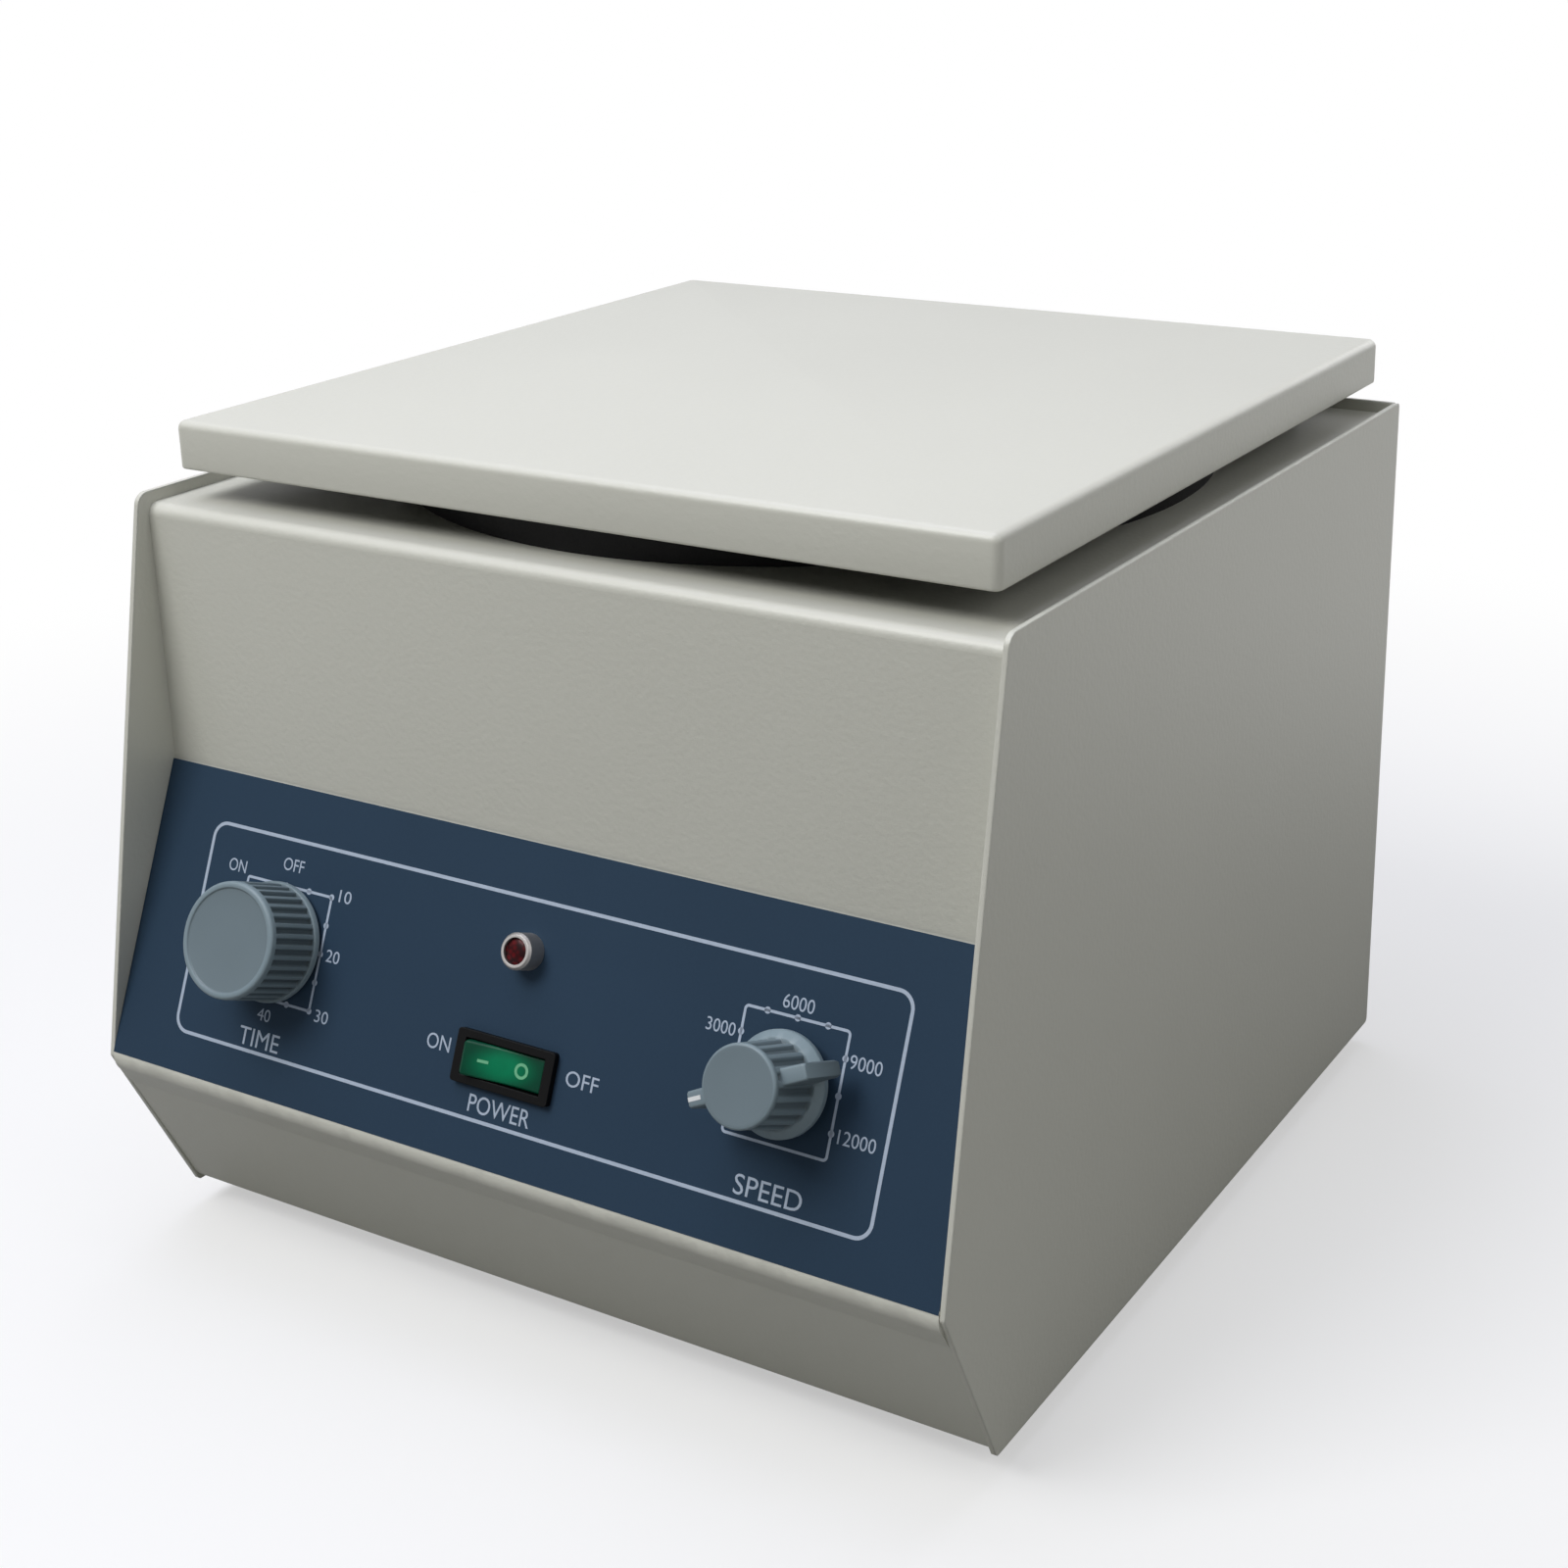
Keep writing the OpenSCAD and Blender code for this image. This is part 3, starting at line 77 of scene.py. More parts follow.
# Edges that turn by more than this stay crisp
SHARP_ANGLE = radians(35)
CORNER_STEPS = 10
EDGE_SAMPLES = 6
# Lamps aim at the middle of the case, or at its top
CASE_MIDDLE, CASE_TOP = (0.0, 0.0, 0.12), (0.0, 0.0, 0.2)


def case_points(points):
    """Case millimetres to scene metres: scaled by a thousandth and moved to the standing frame."""
    return np.asarray(points, float) * MM + np.array([0.0, REAR, BASE])


def panel_points(points):
    """Panel millimetres (across, up the slope, out) to scene metres, along the panel's three directions."""
    p = np.asarray(points, float)
    across = np.array([1.0, 0.0, 0.0])
    up = np.array([0.0, sin(SLOPE), cos(SLOPE)])
    out = np.array([0.0, -cos(SLOPE), sin(SLOPE)])
    foot = np.array([0.0, -CHIN_DEPTH, CHIN_H])
    return case_points(foot + p[..., :1] * across + p[..., 1:2] * up + p[..., 2:3] * out)


def turned(points, angle, x, v):
    """Points of a control about its own axis, turned by the angle and set on the panel at (x, v)."""
    p = np.asarray(points, float)
    a, b = p[..., 0], p[..., 1]
    across = x + a * cos(angle) - b * sin(angle)
    up = v + a * sin(angle) + b * cos(angle)
    return np.stack([across, up, p[..., 2]], -1)


def linked(name, data):
    """New object for the data, in the scene."""
    obj = bpy.data.objects.new(name, data)
    bpy.context.scene.collection.objects.link(obj)
    return obj


def piece(name, points, faces, body, material, smooth=True, painted_light=None):
    """New mesh object from whole arrays, riding on a body. Painted light gives each point's painted highlight
    (above 0) and painted shade (below 0) for the material.
    """
    mesh = bpy.data.meshes.new(name)
    mesh.from_pydata(np.asarray(points, float).reshape(-1, 3).tolist(), [], faces)
    mesh.validate()
    if painted_light is not None:
        light_marks = mesh.attributes.new("painted_light", "FLOAT", "POINT")
        light_marks.data.foreach_set("value", np.asarray(painted_light, np.float32).ravel())
    if smooth:
        mesh.shade_smooth()
        mesh.set_sharp_from_angle(angle=SHARP_ANGLE)
    obj = linked(name, mesh)
    mesh.materials.append(material)
    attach(obj, body)
    return obj


def mesh_points(mesh):
    """Places of all vertices of a mesh, one row each."""
    flat = np.zeros(len(mesh.vertices) * 3)
    mesh.vertices.foreach_get("co", flat)
    return flat.reshape(-1, 3)


def grid_faces(rows, cols, wrap=True, start=0):
    """Quads between neighbouring rows of a grid; the columns close on themselves when wrapped."""
    r, c = np.meshgrid(np.arange(rows - 1), np.arange(cols if wrap else cols - 1), indexing="ij")
    n = (c + 1) % cols
    quads = np.stack([r * cols + c, r * cols + n, (r + 1) * cols + n, (r + 1) * cols + c], -1)
    return (quads.reshape(-1, 4) + start).tolist()


def joined(grids):
    """Several wrapped grids as one mesh: all their points, and faces with the first and last rows closed."""
    points, faces, start = [], [], 0
    for grid in grids:
        rows, cols = grid.shape[:2]
        last = start + (rows - 1) * cols
        points.append(grid.reshape(-1, 3))
        faces += grid_faces(rows, cols, start=start)
        faces.append(list(range(last, last + cols)))
        faces.append(list(range(start, start + cols))[::-1])
        start += rows * cols
    return np.concatenate(points), faces


def inlaid(top, foot, faces):
    """Flat marks made solid: the faces, the same faces turned over at the foot, and a wall under each edge
    that only one face has."""
    count = len(top)
    edges = np.concatenate([np.stack([face, np.roll(face, -1)], 1) for face in faces])
    rim = edges[~np.isin(edges @ [count, 1], edges @ [1, count])]
    walls = np.stack([rim[:, 1], rim[:, 0], rim[:, 0] + count, rim[:, 1] + count], 1)
    under = [[corner + count for corner in face[::-1]] for face in faces]
    return np.concatenate([top, foot]), faces + under + walls.tolist()


def full_turn(count):
    """Evenly spaced angles of a whole turn."""
    return np.linspace(0, 2 * pi, count, endpoint=False)


def quarter_round(x):
    """Quarter of a circle: 1 up to x = 0, then falling to 0 at x = 1."""
    return np.sqrt(1 - np.clip(x, 0, 1) ** 2)


def soft_square(count):
    """Square section with soft corners: the fifth root of each angle's cosine and sine, with their signs."""
    a = full_turn(count)
    both = np.stack([np.cos(a), np.sin(a)])
    return np.sign(both) * np.abs(both) ** 0.2


def arc(x, z, r, a0, a1, count):
    """Points of a circular arc about (x, z), from angle a0 to a1 in degrees."""
    a = np.radians(np.linspace(a0, a1, count))
    return np.stack([x + r * np.cos(a), z + r * np.sin(a)], 1)


def rounded_ring(corners, radius):
    """Closed outline of a convex polygon with round corners, and its outward unit normals.
    At each corner the points run along an arc of the given radius tangent to both sides."""
    corners = np.asarray(corners, float)
    ahead = np.roll(corners, -1, 0) - corners
    ahead /= np.linalg.norm(ahead, axis=1, keepdims=True)
    behind = np.roll(ahead, 1, 0)
    n0 = np.stack([behind[:, 1], -behind[:, 0]], 1)
    n1 = np.stack([ahead[:, 1], -ahead[:, 0]], 1)
    half = np.arccos(np.clip((n0 * n1).sum(1), -1, 1)) / 2
    inward = (n0 + n1) / np.linalg.norm(n0 + n1, axis=1, keepdims=True)
    middle = corners - inward * (radius / np.cos(half))[:, None]
    first = np.arctan2(n0[:, 1], n0[:, 0])
    angle = first[:, None] + np.linspace(0, 1, CORNER_STEPS)[None, :] * (2 * half)[:, None]
    normal = np.stack([np.cos(angle), np.sin(angle)], -1)
    points = middle[:, None, :] + normal * radius
    return points.reshape(-1, 2), normal.reshape(-1, 2)


def carried(ring, normal, profile):
    """Profile carried round an outline: each profile point (inset, height) moves the outline in along its
    normal and up."""
    inset, height = profile[:, 0], profile[:, 1]
    flat = ring[None] - normal[None] * inset[:, None, None]
    return np.concatenate([flat, np.broadcast_to(height[:, None, None], flat.shape[:2] + (1,))], -1)


def turned_rows(profile, columns, ripple=None):
    """Surface of revolution: each profile row (radius, height) is swept round, with an optional ripple of
    the radius."""
    profile = np.asarray(profile, float)
    angle = full_turn(columns)
    radius = np.broadcast_to(profile[:, :1], (len(profile), columns)).copy()
    if ripple is not None:
        radius += ripple(angle)
    height = np.broadcast_to(profile[:, 1:2], radius.shape)
    return np.stack([radius * np.cos(angle), radius * np.sin(angle), height], -1)


def operators(operation):
    """Methods for one Math operation: with the socket first, and reflected."""
    return (lambda self, other: self.math(operation, self, other),
            lambda self, other: self.math(operation, other, self))


class Val:
    """A socket in a shader tree. An expression on it adds the Math nodes that work it out."""

    def __init__(self, tree, socket):
        self.tree, self.socket = tree, socket

    def math(self, operation, *values):
        return self.tree.node("Math", {"operation": operation}, list(values))["Value"]

    __add__, __radd__ = operators("ADD")
    __sub__, __rsub__ = operators("SUBTRACT")
    __mul__, __rmul__ = operators("MULTIPLY")
    __pow__, __rpow__ = operators("POWER")

    def steps(self, low, high):
        """Rises smoothly from 0 at low to 1 at high."""
        return self.tree.node("MapRange", {"interpolation_type": "SMOOTHSTEP"},
                              {"Value": self, "From Min": low, "From Max": high})["Result"]


class Tree:
    """Node tree of a material or of the world, emptied and ready."""

    def __init__(self, owner):
        owner.use_nodes = True
        self.owner, self.tree = owner, owner.node_tree
        self.tree.nodes.clear()

    def node(self, kind, settings=None, values=None):
        """Adds a node: its settings first, then the numbers or links of its sockets, by name or by place."""
        made = self.tree.nodes.new("ShaderNode" + kind)
        for key, value in (settings or {}).items():
            setattr(made, key, value)
        pairs = values.items() if isinstance(values, dict) else enumerate(values or [])
        for key, value in pairs:
            socket = made.inputs[key]
            if isinstance(value, Val):
                self.tree.links.new(value.socket, socket)
            else:
                socket.default_value = value
        return {o.name: Val(self, o) for o in made.outputs if o.enabled}

    def place(self, middle=None):
        """The object's own place, measured from a middle point where one is given."""
        at = self.node("TexCoord")["Object"]
        if middle is not None:
            away = {"Vector": at, "Location": tuple(-np.asarray(middle))}
            at = self.node("Mapping", {}, away)["Vector"]
        return at

    def split(self, vector):
        """The three parts of a vector, by name."""
        return self.node("SeparateXYZ", {}, {"Vector": vector})

    def noise(self, scale, detail=2.0, rough=0.5, stretch=None):
        """Noise of the object's own place; scale counts features per metre, stretch scales each direction."""
        at = self.place()
        if stretch:
            at = self.node("Mapping", {}, {"Vector": at, "Scale": stretch})["Vector"]
        sockets = {"Vector": at, "Scale": scale, "Detail": detail, "Roughness": rough}
        return self.node("TexNoise", {}, sockets)["Fac"]

    def blend(self, factor, a, b):
        """Colour between a and b; the Mix node's colour sockets go by place."""
        return self.node("Mix", {"data_type": "RGBA"}, {"Factor": factor, 6: a, 7: b})["Result"]

    def edge(self, radius):
        """Normal with its edges rounded over the radius; none for a radius of 0."""
        return self.node("Bevel", {"samples": EDGE_SAMPLES}, {"Radius": radius})["Normal"] if radius else None

    def edge_wear_and_highlight(self, rounded):
        """Nearness to an edge: how far the rounded normal leans from the true one, from 0 to 1."""
        true = self.node("NewGeometry")["Normal"]
        lean = 1.0 - self.node("VectorMath", {"operation": "DOT_PRODUCT"}, [rounded, true])["Value"]
        return lean.steps(0.02, 0.22)

    def painted_light(self):
        """Painted light that the mesh carries: above 0 a painted highlight, below 0 painted shade."""
        return self.node("Attribute", {"attribute_name": "painted_light"})["Fac"]

    def finish(self, bump, strength, distance, normal=None, **values):
        """Principled surface; the bump height and the rounded edges feed its normal."""
        inputs = {key.replace("_", " "): value for key, value in values.items()}
        sockets = {"Height": bump, "Strength": strength, "Distance": distance}
        if normal is not None:
            sockets["Normal"] = normal
        inputs["Normal"] = self.node("Bump", {}, sockets)["Normal"]
        surface = self.node("BsdfPrincipled", {}, inputs)["BSDF"]
        self.node("OutputMaterial", {}, {"Surface": surface})
        return self.owner


def material_tree(name):
    """Tree of a new material."""
    return Tree(bpy.data.materials.new(name))


def from_axis(part):
    """Distance from the upright axis: the root of X squared plus Y squared."""
    return (part["X"] * part["X"] + part["Y"] * part["Y"]) ** 0.5


def rgba(r, g, b):
    """Linear colour of an sRGB triple given in 0 to 255."""
    c = np.array([r, g, b]) / 255.0
    c = np.where(c <= 0.04045, c / 12.92, ((c + 0.055) / 1.055) ** 2.4)
    return tuple(c) + (1.0,)


def shade(colour, share):
    """Colour made darker or lighter by a share."""
    return tuple(min(1.0, c * share) for c in colour[:3]) + (1.0,)


def enamel(name, colour, rough=0.42, coat=0.12, round_edge=0.0009, light_from_mesh=False):
    """Stoved enamel on sheet: broad cloudiness in the colour, fine orange peel in the height, and edges painted
    lighter in patches with more coat, partly edge wear and partly painted highlight; with light from the mesh,
    a painted highlight where the mesh says."""
    t = material_tree(name)
    cloud = t.noise(9.0, detail=3.0)
    peel = t.noise(620.0, rough=0.45)
    fine = t.noise(2600.0, detail=1.0)
    base = t.blend(cloud, shade(colour, 0.965), shade(colour, 1.03))
    rounded = t.edge(round_edge)
    # Near the edges the colour is painted lighter in patches: partly edge wear, partly painted highlight; with
    # light from the mesh it is all painted highlight.
    if rounded or light_from_mesh:
        near = t.painted_light() if light_from_mesh else t.edge_wear_and_highlight(rounded)
        patch = 0.3 + t.noise(120.0, detail=3.0).steps(0.35, 0.65) * 0.7
        base = t.blend(near * patch, base, shade(colour, 1.2))
        coat = coat + near * 0.6
    return t.finish(peel + fine * 0.25, strength=0.32, distance=0.00026, normal=rounded, Base_Color=base,
                    Roughness=rough + (cloud - 0.5) * 0.10 + (peel - 0.5) * 0.06,
                    Coat_Weight=coat, Coat_Roughness=0.18)


def moulded(name, colour, rough=0.45, grain=2400.0, strength=0.18, shine=0.5, light_from_mesh=False):
    """Moulded plastic: spark-eroded grain in height and sheen, faint flow marks in the colour. With light from
    the mesh, the mesh says where the colour is painted lighter (painted highlight) and where darker (painted
    shade)."""
    t = material_tree(name)
    flow = t.noise(45.0, detail=3.0)
    spark = t.noise(grain, rough=0.6)
    base = t.blend(flow, shade(colour, 0.92), shade(colour, 1.07))
    if light_from_mesh:
        # Painted highlight where the mesh's value is above 0, painted shade where it is below 0.
        painted_light = t.painted_light()
        base = t.blend(painted_light * (0.55 + flow * 0.45), base, shade(colour, 1.5))
        base = t.blend(painted_light * -1.0, base, shade(colour, 0.55))
    return t.finish(spark, strength, distance=0.0001, normal=t.edge(0.0004), Base_Color=base,
                    Roughness=rough + (spark - 0.5) * 0.16 + (flow - 0.5) * 0.06, Specular_IOR_Level=shine)


def rubbery(name, colour):
    """Moulded rubber: dull, with a bloom that lightens it in patches."""
    t = material_tree(name)
    bloom = t.noise(60.0, detail=4.0)
    pores = t.noise(1800.0)
    base = t.blend(bloom.steps(0.45, 0.75), colour, shade(colour, 1.8))
    return t.finish(pores, strength=0.25, distance=0.0001, normal=t.edge(0.0005), Base_Color=base,
                    Roughness=0.72 + (pores - 0.5) * 0.2, Specular_IOR_Level=0.25)


def metal(name, colour, rough, stretch=(1.0, 1.0, 24.0), grain=900.0):
    """Plated or ground metal: streaks along one direction in sheen and height, faint stains in the colour."""
    t = material_tree(name)
    streak = t.noise(grain, rough=0.6, stretch=stretch)
    stain = t.noise(70.0, detail=3.0)
    base = t.blend(stain, shade(colour, 0.9), shade(colour, 1.04))
    return t.finish(streak, strength=0.08, distance=0.00005, normal=t.edge(0.0003), Base_Color=base,
                    Metallic=1.0, Roughness=rough + (streak - 0.5) * 0.14 + (stain - 0.5) * 0.1)


def lathe_turned(name, colour, rough, pitch):
    """Turned metal: rings about the rotor axis from the distance to it, in sheen and height."""
    t = material_tree(name)
    radius = from_axis(t.split(t.place(middle=(0.0, AXIS_Y * MM + REAR, 0.0))))
    sockets = {"W": radius, "Scale": pitch, "Detail": 3.0}
    ring = t.node("TexNoise", {"noise_dimensions": "1D"}, sockets)["Fac"]
    stain = t.noise(30.0, detail=3.0)
    base = t.blend(stain, shade(colour, 0.92), shade(colour, 1.03))
    return t.finish(ring, strength=0.12, distance=0.00006, normal=t.edge(0.0003), Base_Color=base,
                    Metallic=1.0, Roughness=rough + (ring - 0.5) * 0.2 + (stain - 0.5) * 0.06)


def printed_film():
    """Navy film: fine screen-print mottle, a satin sheen that varies slightly."""
    t = material_tree("printed_film")
    navy = rgba(44, 63, 82)
    cloud = t.noise(14.0, detail=3.0)
    speck = t.noise(1500.0, rough=0.6)
    base = t.blend(cloud * 0.6 + speck * 0.4, shade(navy, 0.86), shade(navy, 1.14))
    return t.finish(speck, strength=0.05, distance=0.00005, Base_Color=base,
                    Roughness=0.5 + (cloud - 0.5) * 0.12, Specular_IOR_Level=0.1)


def ink(name, colour):
    """Screen-printed ink: slightly uneven in cover."""
    t = material_tree(name)
    cover = t.noise(900.0)
    base = t.blend(cover, shade(colour, 0.88), shade(colour, 1.06))
    return t.finish(cover, strength=0.05, distance=0.00003, Base_Color=base,
                    Roughness=0.55 + (cover - 0.5) * 0.1)


def lit_green():
    """Translucent green rocker: a painted glow, the colour lighter towards its middle for light let through
    where the plastic is thin.
    """
    t = material_tree("rocker_green")
    part = t.split(t.place(middle=panel_points([SWITCH_X, SWITCH_V, 2.0])))
    reach = (part["X"] * part["X"] * 0.7 + part["Z"] * part["Z"] * 3.0) ** 0.5
    # Painted glow: lighter green towards the rocker's middle.
    glow = 1.0 - reach.steps(0.002, 0.0105)
    haze = t.noise(260.0)
    base = t.blend(glow * (0.7 + haze * 0.3), rgba(2, 66, 46), rgba(7, 130, 87))
    return t.finish(haze, strength=0.03, distance=0.00004, normal=t.edge(0.0003), Base_Color=base,
                    Roughness=0.34 + (haze - 0.5) * 0.06, Specular_IOR_Level=0.14)


def faceted_red():
    """Red lamp lens: moulded facets inside, seen as cells of lighter and darker red."""
    t = material_tree("lens_red")
    depth = t.node("TexVoronoi", {}, {"Vector": t.place(), "Scale": 620.0})["Distance"]
    base = t.blend(depth.steps(0.1, 0.8), rgba(100, 12, 20), rgba(34, 3, 7))
    return t.finish(depth, strength=0.25, distance=0.0001, Base_Color=base, Roughness=0.3 + depth * 0.1,
                    Specular_IOR_Level=0.12, Coat_Weight=0.04, Coat_Roughness=0.1)


def board_green():
    """Varnished laminate: copper tracks show as lighter bands under the green."""
    t = material_tree("board_green")
    track = t.noise(260.0, detail=1.0, stretch=(1.0, 0.12, 1.0)).steps(0.5, 0.56)
    base = t.blend(track, rgba(18, 84, 44), rgba(52, 128, 70))
    return t.finish(track, strength=0.1, distance=0.0001, Base_Color=base, Roughness=0.4 - track * 0.12)


GREY = rgba(207, 207, 196)
FINISH = {
    "painted_grey": enamel("painted_grey", GREY),
    # The lid's liner is given a dark grey in place of its pale enamel: painted shade, to darken the gap under
    # the lid.
    "liner_grey": enamel("liner_grey", rgba(108, 109, 107), rough=0.5, coat=0.05),
    "overlay_navy": printed_film(),
    "black_rubber": rubbery("black_rubber", rgba(15, 15, 16)),
    "zinc_steel": metal("zinc_steel", rgba(196, 198, 200), rough=0.32),
    "bowl_steel": lathe_turned("bowl_steel", rgba(180, 181, 181), rough=0.36, pitch=900.0),
    "motor_paint": enamel("motor_paint", rgba(48, 49, 52), rough=0.4),
    "motor_alloy": metal("motor_alloy", rgba(176, 178, 180), rough=0.5, stretch=(1.0, 1.0, 1.0), grain=500.0),
    "core_steel": metal("core_steel", rgba(120, 116, 110), rough=0.5, stretch=(0.05, 0.05, 30.0)),
    "copper": metal("copper", rgba(178, 104, 62), rough=0.35, stretch=(1.0, 1.0, 0.1)),
    "ground_steel": metal("ground_steel", rgba(200, 201, 203), rough=0.22, stretch=(1.0, 1.0, 40.0)),
    "brush_brown": moulded("brush_brown", rgba(70, 46, 32)),
    "rotor_aluminium": lathe_turned("rotor_aluminium", rgba(212, 214, 216), rough=0.28, pitch=1500.0),
    "moulded_black": moulded("moulded_black", rgba(10, 10, 11), rough=0.42, shine=0.12),
    "knob_grey": moulded("knob_grey", rgba(108, 123, 130), rough=0.42, grain=2000.0, strength=0.14, shine=0.4,
                         light_from_mesh=True),
    "rocker_green": lit_green(),
    "lamp_chrome": metal("lamp_chrome", rgba(176, 173, 171), rough=0.52, stretch=(1.0, 20.0, 1.0), grain=600.0),
    "lens_red": faceted_red(),
    "board_green": board_green(),
    "sink_black": metal("sink_black", rgba(52, 53, 56), rough=0.42, stretch=(1.0, 0.05, 1.0)),
}
# Enamel without shaded edges, for the sheet whose folds are round already, and for the fold's nose with its
# painted highlight
FOLDED = enamel("folded_grey", GREY, round_edge=0.0)
FOLD_HIGHLIGHT = enamel("fold_highlight_grey", GREY, round_edge=0.0, light_from_mesh=True)
INK = ink("print_ink", rgba(176, 190, 208))
WHITE_INK = ink("white_ink", rgba(232, 234, 234))
PALE_INK = ink("pale_ink", rgba(108, 184, 140))


def dress_nodes():
    """Gives every CAD node the finish of its slot; the folded cover has its own."""
    for part in frame["record"]["subparts"]:
        node = frame["nodes"][part["node"]]
        for place in node.material_slots:
            place.material = FOLDED if part["node"] == "front_top_cover" else FINISH[part["material_slot"]]
        if not node.material_slots:
            node.data.materials.append(FINISH[part["material_slot"]])


def lid_tray():
    """Lid tray: a wall profile with a rounded top edge and a rolled lower lip, carried round a rounded
    rectangle; the outer and inner tops close it."""
    half, corner, edge, lip, fillet = LID_W / 2, 2.6, 2.4, 0.7, 0.4
    inner_top = LID_H - SHEET
    ring, normal = rounded_ring([[-half, -LID_D], [half, -LID_D], [half, 0], [-half, 0]], corner)
    profile = np.concatenate([
        [[SHEET + fillet, inner_top], [SHEET, inner_top - fillet]],
        arc(SHEET - lip, lip, lip, 0, -90, 4), arc(lip, lip, lip, -90, -180, 4),
        arc(edge, LID_H - edge, edge, 180, 90, 8)])
    points, faces = joined([carried(ring, normal, profile) + [0.0, 0.0, LID_Z]])
    made = piece("lid_tray", case_points(points), faces, "lid", FINISH["painted_grey"])
    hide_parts("lid_shell")


def toe_fold():
    """Rounded nose of the fold below the panel: an arc that starts along the panel, turns a little past the
    chin's direction and runs out on the chin; its chord closes it behind."""
    radius, lift, chin_lift, past, bury = 7.0, 0.74, 1.0, radians(7), 0.3
    start = (radius * (1 - cos(CHIN_TURN)) + lift * cos(CHIN_TURN) - chin_lift) / sin(CHIN_TURN)
    a = np.linspace(0, CHIN_TURN + past, 36)
    nose = np.stack([start - radius * np.sin(a), lift - radius * (1 - np.cos(a))], 1)
    above_chin = nose[-1] @ [-sin(CHIN_TURN), cos(CHIN_TURN)]
    run = above_chin / sin(past) + bury
    last = nose[-1] - run * np.array([cos(a[-1]), sin(a[-1])])
    profile = np.vstack([nose, last])
    ends = [np.column_stack([np.full(len(profile), x), profile]) for x in (-COVER_HALF, COVER_HALF)]
    # Painted highlight: the nose is painted lighter along its arc, most where it still faces up the panel,
    # fading towards the chin.
    light_marks = np.append(1.7 * np.clip(1.25 - a / CHIN_TURN, 0, 1), 0.0)
    points, faces = joined([np.stack(ends)])
    piece("toe_fold", panel_points(points), faces, "case", FOLD_HIGHLIGHT, painted_light=np.tile(light_marks, 2))


def timer_grip():
    """Timer knob: a turned profile with a foot ring, a bevelled rim and a shallow dished face; its side
    ripples as ribs between grooves of equal width."""
    ribs, depth, bevel, dish = 34, 0.9, 0.9, 0.5
    columns = ribs * 12
    r, foot, top = TIMER_R, TIMER_FOOT, TIMER_TOP

    def ripple(angle):
        return -depth * np.clip((np.cos(angle * ribs) + 0.35) / 0.7, 0, 1)

    hollow = [[r - 3.0, foot + 6.0], [r - 2.4, foot]]
    foot_ring = [[r + 0.4, foot], [r + 0.6, foot + 0.25], [r + 0.6, foot + 1.5], [r + 0.3, foot + 2.0]]
    rim = np.concatenate([
        [[r - 0.1, top - 1.8], [r - 0.15, top - 1.4]],
        arc(r - 1.1, top - bevel, bevel, 0, 90, 6), [[r - 1.8, top]]])
    face = [[r - 2.0, top - 0.1], [r - 2.2, top - 0.42], [r - 2.6, top - dish], [4.0, top - dish]]
    below = turned_rows(hollow + foot_ring, columns)
    side = turned_rows([[r, foot + 2.0], [r - 0.1, top - 2.2], [r - 0.1, top - 2.0]], columns, ripple)
    crown = turned_rows(np.concatenate([rim, face]), columns)
    rows = np.concatenate([below, side, crown])
    groove = ripple(full_turn(columns)) / -depth
    # Painted light on the knob: foot ring, ribs and rim painted lighter as highlights, the grooves painted
    # darker as shade.
    light_marks = np.zeros(rows.shape[:2])
    below_light, side_light, crown_light = np.split(light_marks, np.cumsum([len(below), len(side)]))
    below_light[len(hollow):] = 0.8
    side_light[:] = 0.4 - 1.2 * groove
    crown_light[:len(rim)] = 0.9
    points, faces = joined([rows])
    made = piece("timer_grip", panel_points(turned(points, 0.0, -DIAL_X, DIAL_V)), faces, "time_control",
                 FINISH["knob_grey"], painted_light=light_marks)
    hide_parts("time_knob")


def wing_rows(stations):
    """Pointer wing: a tall square section with soft corners carried out along the radius; its crest falls a
    little, its foot clears the skirt, and its end leans out towards the foot, where the section shrinks to
    round it."""
    sunk, clear, fall, taper, lean_out = 0.6, 2.4, 0.6, 0.1, 2.9
    s = np.linspace(0, 1, stations)
    reach = WING_ROOT + (WING_REACH - WING_ROOT) * s
    foot = SKIRT_TOP - sunk + clear * np.clip((reach - SKIRT_R + 1.0) / 7.0, 0, 1)
    crest = WING_CREST - fall * s
    end = quarter_round((s - 0.95) / 0.055)
    half = (WING_W / 2) * (1 - taper * s) * (0.7 + 0.3 * end)
    middle, tall = (foot + crest) / 2, (crest - foot) / 2 * (0.94 + 0.06 * end)
    box_y, box_z = soft_square(40)
    lean = lean_out * s[:, None] ** 4 * (1 - box_z) / 2
    return np.stack([reach[:, None] + lean, half[:, None] * box_y, middle[:, None] + tall[:, None] * box_z], -1)


